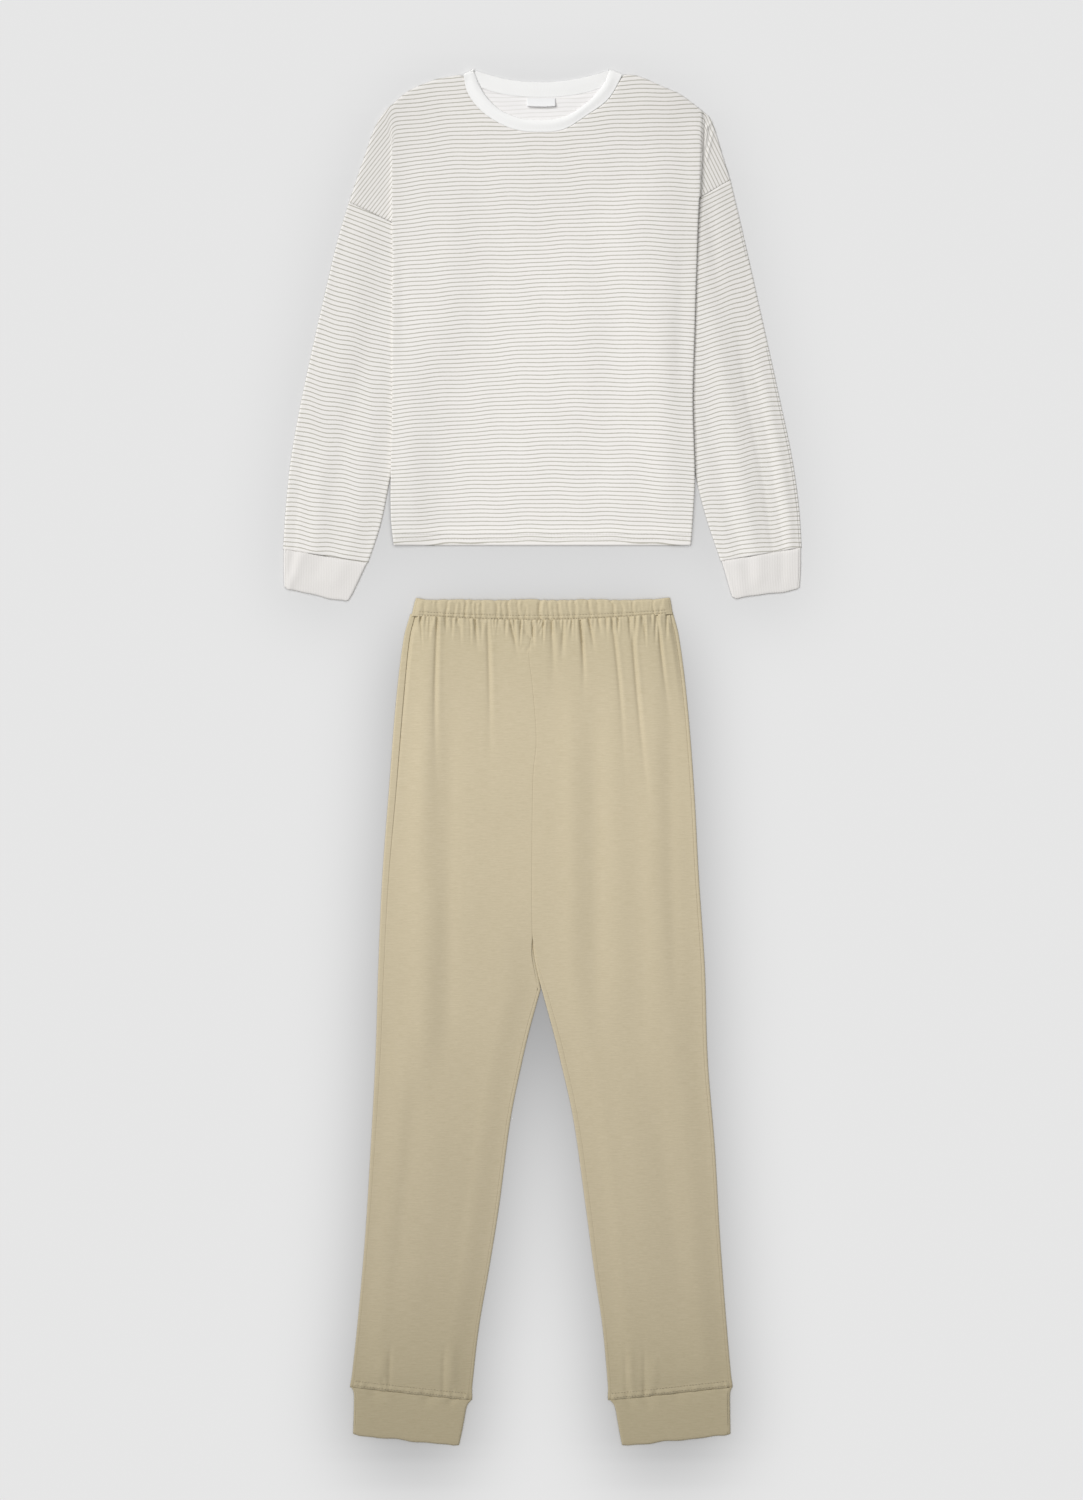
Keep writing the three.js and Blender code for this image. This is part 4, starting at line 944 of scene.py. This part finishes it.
class Finish:
    """A material and its node tree, with short calls for the nodes that cloth needs."""

    def __init__(self, name, roughness, sheen, specular=0.25):
        self.material = bpy.data.materials.new(name)
        self.material.use_nodes = True
        self.tree = self.material.node_tree
        self.shader = self.tree.nodes["Principled BSDF"].inputs
        self.shader["Roughness"].default_value = roughness
        self.shader["Specular IOR Level"].default_value = specular
        self.shader["Sheen Weight"].default_value = sheen
        self.shader["Sheen Roughness"].default_value = 0.55
        self.grain = self.add("ShaderNodeUVMap", uv_map="grain").outputs[0]
        self.across, self.down, _ = self.add("ShaderNodeSeparateXYZ", {0: self.grain}).outputs

    def add(self, kind, inputs=None, **settings):
        node = self.tree.nodes.new(kind)
        for name, value in settings.items():
            setattr(node, name, value)
        for key, value in (inputs or {}).items():
            if isinstance(value, bpy.types.NodeSocket):
                self.tree.links.new(value, node.inputs[key])
            else:
                node.inputs[key].default_value = value
        return node

    def math(self, operation, *values):
        return self.add("ShaderNodeMath", dict(enumerate(values)), operation=operation).outputs[0]

    def total(self, *parts):
        """The sum of sockets, each given after its weight."""
        sum_so_far = 0.0
        for weight, value in parts:
            sum_so_far = self.math("MULTIPLY_ADD", value, weight, sum_so_far)
        return sum_so_far

    def noise(self, scale, stretch=(1, 1, 1), detail=2.0, roughness=0.5):
        """Noise over the grain, with its cells' size in metres divided out by scale."""
        placed = self.add("ShaderNodeMapping", {"Vector": self.grain, "Scale": stretch}).outputs[0]
        inputs = {"Vector": placed, "Scale": scale, "Detail": detail, "Roughness": roughness}
        return self.add("ShaderNodeTexNoise", inputs).outputs["Fac"]

    def lines(self, place, pitch, low=0.05, high=0.45):
        """0 to 1 once a pitch: 1 in each line's middle."""
        return self.step(self.math("PINGPONG", self.total((1 / (pitch * MM), place)), 0.5), low, high)

    def step(self, value, low, high, to_low=1.0, to_high=0.0):
        inputs = {"Value": value, "From Min": low, "From Max": high, "To Min": to_low, "To Max": to_high}
        return self.add("ShaderNodeMapRange", inputs, interpolation_type="SMOOTHSTEP").outputs[0]

    def mix(self, share, a, b, kind="MIX"):
        inputs = {0: share, 6: a, 7: b}
        return self.add("ShaderNodeMix", inputs, data_type="RGBA", blend_type=kind).outputs[2]

    def cloudy(self, scale, light):
        return self.mix(self.noise(scale, detail=3.0), toned(light, 0.975), toned(light, 1.02))

    def place(self):
        return self.add("ShaderNodeTexCoord").outputs["Object"]

    def colour(self, socket):
        self.tree.links.new(socket, self.shader["Base Color"])

    def bump(self, height, strength, distance):
        inputs = {"Height": height, "Strength": strength, "Distance": distance * MM}
        self.tree.links.new(self.add("ShaderNodeBump", inputs).outputs[0], self.shader["Normal"])


def striped_jersey(name, light, dark):
    """Off-white single jersey with narrow knitted-in stripes, and painted shade towards the sides and
    the hem.
    """
    finish = Finish(name, 0.92, 0.12)
    uneven = finish.noise(520, (1, 0.5, 1), 1.0)
    shift = finish.math("MULTIPLY_ADD", uneven, 0.0007, -0.00035)
    line = finish.lines(finish.math("ADD", finish.down, shift), STRIPE_PITCH, 0.05, 0.18)
    fade = finish.math("MULTIPLY_ADD", finish.noise(90, (1, 2, 1)), 0.35, 0.74)
    striped = finish.mix(finish.math("MULTIPLY", line, fade), finish.cloudy(28, light), toned(dark))
    # Painted shade: the cloth's colour is drawn darker towards the sides and down towards the hem, where
    # the light falls off.
    x = finish.add("ShaderNodeSeparateXYZ", {0: finish.place()}).outputs[0]
    painted_shade_aside = finish.step(finish.math("ABSOLUTE", x), 0.09, 0.24, 0.0, 1.0)
    lower = finish.step(finish.down, 0.2, 0.5, 0.0, 0.45)
    painted_shade_tone = toned((0.92, 0.92, 0.92))
    finish.colour(finish.mix(finish.math("ADD", painted_shade_aside, lower), striped, painted_shade_tone, "MULTIPLY"))
    wales, courses = finish.lines(finish.across, 0.9), finish.lines(finish.down, 0.65)
    fuzz = finish.noise(1400, detail=1.0)
    finish.bump(finish.total((0.6, wales), (0.3, courses), (-1.4, line), (0.5, fuzz)), 0.35, 0.12)
    return finish.material


def rib_knit(name, light, groove, pitch=2.1):
    """Off-white rib knit: ribs run across the band, with painted shade in the grooves between them."""
    finish = Finish(name, 0.94, 0.12)
    rib = finish.lines(finish.across, pitch, 0.02, 0.4)
    # Painted shade: the grooves between the ribs take the darker groove colour.
    painted_groove_shade = finish.math("MULTIPLY", rib, 0.8)
    finish.colour(finish.mix(painted_groove_shade, finish.cloudy(36, light), toned(groove)))
    courses = finish.lines(finish.down, 0.8)
    fuzz = finish.noise(1300, detail=1.0)
    finish.bump(finish.total((0.25, courses), (-1.0, rib), (0.4, fuzz)), 0.4, 0.25)
    return finish.material


def melange_jersey(name, light, dark):
    """Khaki jersey of mixed fibres: short faint streaks run across it. Painted shade darkens it towards
    the ankles and at the waist.
    """
    finish = Finish(name, 0.9, 0.1)
    streaks = finish.noise(1.0, (190, 1500, 1), 3.0, 0.62)
    long_streaks = finish.noise(1.0, (60, 900, 1), 2.0, 0.5)
    share = finish.step(finish.total((0.55, streaks), (0.45, long_streaks)), 0.3, 0.7, 0.0, 1.0)
    streaky = finish.mix(share, toned(dark), toned(light))
    cloudy = finish.math("MULTIPLY", finish.noise(14, detail=4.0), 0.16)
    # Painted shade: darker down towards the ankles and their cuffs, and at the waistband and the top of
    # the legs.
    low = finish.step(finish.down, 0.8, 1.05, 0.0, 1.0)
    high = finish.step(finish.down, 0.03, 0.16, 0.6, 0.0)
    painted_shade_khaki = finish.mix(
        finish.math("ADD", low, high),
        finish.mix(cloudy, streaky, toned(dark, 0.8)),
        toned((0.9, 0.9, 0.86)),
        "MULTIPLY",
    )
    finish.colour(painted_shade_khaki)
    wales, courses = finish.lines(finish.across, 0.85), finish.lines(finish.down, 0.6)
    fuzz = finish.noise(1200, detail=2.0)
    finish.bump(finish.total((0.5, wales), (0.4, courses), (0.7, fuzz)), 0.35, 0.12)
    return finish.material


def woven_tape(name, light):
    finish = Finish(name, 0.5, 0.05)
    weave = finish.math("MULTIPLY", finish.lines(finish.down, 0.45), finish.lines(finish.across, 0.6))
    finish.colour(finish.mix(weave, toned(light), toned(light, 0.93)))
    finish.bump(weave, 0.4, 0.1)
    return finish.material


def thread(name, light):
    """Twisted sewing thread."""
    finish = Finish(name, 0.7, 0.1)
    inputs = {"Vector": finish.place(), "Scale": 900.0}
    twist = finish.add("ShaderNodeTexWave", inputs, bands_direction="DIAGONAL").outputs["Fac"]
    finish.colour(finish.mix(twist, toned(light, 0.86), toned(light)))
    finish.bump(twist, 0.4, 0.1)
    return finish.material


striped = striped_jersey("striped_jersey", srgb(244, 241, 237), srgb(184, 181, 169))
# Painted light: the back's inner face, seen in the neck opening, is a lighter copy of the striped jersey
# with fainter stripes, to offset the shade there.
striped_inside_painted_lighter = striped_jersey("striped_jersey_inside_painted_lighter", srgb(250, 248, 247), srgb(236, 234, 231))
# One rib knit in two copies that differ by painted light and shade: the neckband's is lighter, as the
# bright light at the neck, the cuffs' darker, as the shade at the sides.
rib = rib_knit("white_rib", srgb(231, 228, 225), srgb(221, 218, 214))
neck_rib_painted_lighter = rib_knit("neck_rib_painted_lighter", srgb(255, 255, 254), srgb(251, 250, 248))
khaki = melange_jersey("khaki_jersey", srgb(211, 198, 170), srgb(198, 185, 155))
label_tape = woven_tape("label_tape", srgb(248, 248, 248))
white_thread = thread("white_thread", srgb(240, 236, 231))
khaki_thread = thread("khaki_thread", srgb(232, 219, 191))


# The pieces

FRONT_ROWS = (60, 124, 10)  # to the underarms, to the hem, and the hem
BACK_ROWS = (30, 62, 4)
PANEL = (0.01, 0.99)  # where a row of stitches starts and ends on a panel

front_grids = panel_grids(NECK_SEAM_FRONT, front_height, True, 144, 26, FRONT_ROWS)
hem_rows = [(sum(FRONT_ROWS[:2]) + share * FRONT_ROWS[2]) / sum(FRONT_ROWS) for share in (0.3, 0.6)]
hem_stitches = stitches(
    "hem_stitches", front_grids[0][2], PANEL, hem_rows, white_thread, 0.5
)
cloth_piece(
    "top_front",
    front_grids,
    JERSEY,
    [striped],
    "striped_jersey",
    flat=(0.5, 0.6),
    area=0.223,
    rests_on=["top_back", "sleeve_right", "sleeve_left"],
    with_pieces=[hem_stitches],
)
cloth_piece(
    "top_back",
    panel_grids(NECK_SEAM_BACK, back_height, False, 72, 12, BACK_ROWS),
    JERSEY,
    [striped_inside_painted_lighter, striped],
    "striped_jersey",
    flat=(0.5, 0.62),
    area=0.224,
    rests_on=["sleeve_right", "sleeve_left"],
)

for side, rings, folds, tilt, turn in (
    ("right", SLEEVE_RIGHT, SLEEVE_FOLDS_RIGHT, SLEEVE_TILT_RIGHT, 0.3),
    ("left", SLEEVE_LEFT, SLEEVE_FOLDS_LEFT, SLEEVE_TILT_LEFT, 2.2),
):
    lift, grain = sleeve_lift(folds, turn), sleeve_grain(rings, tilt, turn)
    grids = [(TUBE_COLUMNS, 150, tube_place(TOP_AT, rings, JERSEY, lift, grain, joins=(0.9, 0.6)))]
    sheet = {"flat": (0.26, 0.45), "area": 0.104}
    cloth_piece("sleeve_" + side, grids, JERSEY, [striped], "striped_jersey", side == "left", **sheet)

SLEEVE_END = (TOP_AT, [rib], "white_rib", 2.6, (1.3, 6))
LEG_END = (TROUSERS_AT, [khaki], "khaki_jersey", 1.4, (0.6, 6))
for name, end, rings, folds, flat, area in (
    ("cuff_right", SLEEVE_END, CUFF_RIGHT, CUFF_FOLDS_RIGHT, (0.21, 0.052), 0.0095),
    ("cuff_left", SLEEVE_END, CUFF_LEFT, CUFF_FOLDS_LEFT, (0.2, 0.052), 0.0093),
    ("ankle_cuff_right", LEG_END, ANKLE_CUFF_RIGHT, ANKLE_FOLDS_RIGHT, (0.3, 0.059), 0.016),
    ("ankle_cuff_left", LEG_END, ANKLE_CUFF_LEFT, ANKLE_FOLDS_LEFT, (0.3, 0.059), 0.016),
):
    at, materials, slot_name, corner, upper_fall = end
    falls = (upper_fall, (0.9, 3.5))
    place = tube_place(at, rings, RIB, cuff_lift(folds), bow=cuff_bow(corner), falls=falls)
    grids = [(TUBE_COLUMNS, 28, place)]
    cloth_piece(name, grids, RIB, materials, slot_name, name.endswith("left"), flat=flat, area=area)

neck_grids = [(200, 16, neckband_place)]
cloth_piece("neckband", neck_grids, RIB, [neck_rib_painted_lighter], "white_rib", flat=(0.42, 0.019), area=0.0073)

LABEL_ACROSS = 36
LABEL_DOWN = 10
LABEL_MIDDLE = -1
LABEL_TOP = 39.2


def label_place(s, t):
    """The label is sewn in along its top, and its lower edge curls up off the cloth."""
    across = LABEL_MIDDLE + (s - 0.5) * LABEL_ACROSS
    down = LABEL_TOP + t * LABEL_DOWN + 0.8 * np.sin(np.pi * s) * t
    height = JERSEY + SEAM + 0.5 + 2.6 * t * t + 0.4 * np.sin(2.3 * s + 0.4) * t
    return Cloth(across, down, height, (across, down), TOP_AT)


label_grids = [(24, 10, label_place)]
label_sheet = {"flat": (0.036, 0.01), "rests_on": ["top_back"]}
cloth_piece("neck_label", label_grids, 0.45, [label_tape], "woven_label", **label_sheet)

KHAKI_CLOTH = (TROUSER_JERSEY, [khaki], "khaki_jersey")
seam_rows = np.interp((ANKLE_DOWN - 7.5, ANKLE_DOWN - 2), LEG_ROW_DOWNS, LEG_ROW_SHARES)
for side, leg, front_area, back_area in (
    ("right", LEG_RIGHT, 0.16, 0.175),
    ("left", LEG_LEFT, 0.172, 0.184),
):
    place = trouser_front_place(leg)
    stitched = stitches(
        "ankle_stitches_" + side, place, PANEL, seam_rows, khaki_thread, 0.9
    )
    cloth_piece(
        "trouser_front_" + side,
        [(156, 190, place)],
        *KHAKI_CLOTH,
        side == "left",
        flat=(0.24, 0.985),
        area=front_area,
        rests_on=["trouser_back_" + side],
        with_pieces=[stitched],
    )
    back_grids = [(100, 110, trouser_back_place(leg))]
    sheet = {"flat": (0.25, 0.985), "area": back_area}
    cloth_piece("trouser_back_" + side, back_grids, *KHAKI_CLOTH, side == "right", **sheet)

band = tube_place(TROUSERS_AT, WAISTBAND, CASING, waistband_lift, bow=waistband_bow)
even = np.linspace(0, 1, 200)
band_rows = np.interp(BAND_STITCHES, spread(even, 0.35), even)
waist_stitches = stitches(
    "waist_stitches", band, (0.01, 0.53), band_rows, khaki_thread, 0.8
)
cloth_piece(
    "waistband",
    [(400, 26, band)],
    CASING,
    [khaki],
    "khaki_jersey",
    flat=(0.66, 0.028),
    area=0.018,
    held="gathered",
    with_pieces=[waist_stitches],
)


# The floor, the light and the camera

# The floor's soft shadow is painted into its colour, from where the pieces lie.
SHADE_CELL = 0.008
SHADE_CELLS = np.array((230, 320))
SHADE_REACH = 0.045
TOP_SHADE = (0.018, 0.2)  # how far below the top its shade falls, and how strong it is
TROUSER_SHADE = (0.03, 0.55)
FLOOR_REACH = 3.5
ROOM_LIGHT = 0.34
KEY_LIGHT = 12000
SKY_LIGHT = 2.05


def shade_cells(places):
    """The cell of the floor's shade that each place lies in."""
    cells = np.round(places / SHADE_CELL).astype(int) + SHADE_CELLS // 2
    return tuple(np.clip(cells, 0, SHADE_CELLS - 1).T)


def shade_map(pieces):
    """The painted shadow on each cell of the floor near the set: where the pieces lie, a little lower,
    as a soft blur.
    """
    covered = np.zeros(SHADE_CELLS)
    for piece in pieces:
        points = np.array([vert.co[:2] for vert in piece.data.vertices])
        below, strength = TOP_SHADE if points[:, 1].mean() > 0.22 else TROUSER_SHADE
        cells = shade_cells(points - (0, below))
        covered[cells] = np.maximum(covered[cells], strength)
    blur = np.exp(-0.5 * (np.arange(-18, 19) * SHADE_CELL / SHADE_REACH) ** 2)
    blur /= blur.sum()
    for axis in (0, 1):
        covered = np.apply_along_axis(np.convolve, axis, covered, blur, "same")
    return covered


def floor(pieces):
    """Plain paper, darkened around the set by a painted shadow."""
    form = bmesh.new()
    columns, rows = SHADE_CELLS.tolist()
    bmesh.ops.create_grid(form, x_segments=columns, y_segments=rows, size=1)
    places = np.array([vert.co[:2] for vert in form.verts])
    placed = places * SHADE_CELLS / 2 * SHADE_CELL + np.sign(places) * FLOOR_REACH * np.abs(places) ** 12
    near = form.verts.layers.float.new("shade")
    shades = shade_map(pieces)[shade_cells(placed)]
    for vert, place, shade in zip(form.verts, placed.tolist(), shades.tolist()):
        vert.co = (*place, 0)
        vert[near] = shade
    paper = Finish("floor_paper", 1.0, 0.0, 0.0)
    shade = paper.add("ShaderNodeAttribute", attribute_name="shade").outputs["Fac"]
    paper.colour(paper.mix(shade, (0.8, 0.8, 0.8, 1), (0.0, 0.0, 0.004, 1)))
    made("floor", form, [paper.material])


def light(name, kind, place, target, lit_name, lit_things, **settings):
    """A lamp at a place, aimed at a target, that lights some objects alone."""
    lamp = bpy.data.lights.new(name, kind)
    for setting, value in settings.items():
        setattr(lamp, setting, value)
    thing = bpy.data.objects.new(name, lamp)
    thing.location = place
    thing.rotation_euler = (Vector(target) - Vector(place)).to_track_quat("-Z", "Y").to_euler()
    bpy.context.scene.collection.objects.link(thing)
    lit = bpy.data.collections.new(lit_name)
    for lit_thing in lit_things:
        lit.objects.link(lit_thing)
    thing.light_linking.receiver_collection = lit


def studio(pieces):
    """A soft room, a key light from the upper left whose edge falls on the ankles, and a sky."""
    world = bpy.data.worlds.new("soft_room")
    world.use_nodes = True
    background = world.node_tree.nodes["Background"].inputs
    background["Color"].default_value = (1, 1, 1, 1)
    background["Strength"].default_value = ROOM_LIGHT
    bpy.context.scene.world = world
    target = Vector((-0.02, 0.23, 0))
    middle = Vector((-7.4, 5.2, 11.9))
    sideways = (middle - target).cross(Vector((0, 0, 1))).normalized()
    upwards = sideways.cross(middle - target).normalized()
    key = {
        "energy": KEY_LIGHT / 4,
        "spot_size": 2 * math.atan(1.31 / 15),
        "spot_blend": 0.7,
        "shadow_soft_size": 1.3,
    }
    for i, (right, up) in enumerate(((-4, 0), (4, 0), (0, -3.8), (0, 3.8))):
        place = middle + right * sideways + up * upwards
        light(f"key_{i}", "SPOT", place, target, f"key_lights_{i}", pieces, **key)
    sky = {"energy": SKY_LIGHT, "angle": math.radians(70)}
    floor_alone = [bpy.data.objects["floor"]]
    light("sky", "SUN", (0, 0, 5), (0, 0, 0), "sky_lights", floor_alone, **sky)


def camera():
    lens = bpy.data.cameras.new("camera")
    lens.lens = 85
    lens.sensor_width = 36
    viewer = bpy.data.objects.new("camera", lens)
    viewer.location = (-0.0006, 0.0094, 4.427)
    bpy.context.scene.collection.objects.link(viewer)
    bpy.context.scene.camera = viewer


cloth_pieces = [thing for thing in bpy.data.objects if thing.name.endswith("_cloth")]
floor(cloth_pieces)
studio(cloth_pieces)
camera()
bpy.context.scene.view_settings.view_transform = "Standard"
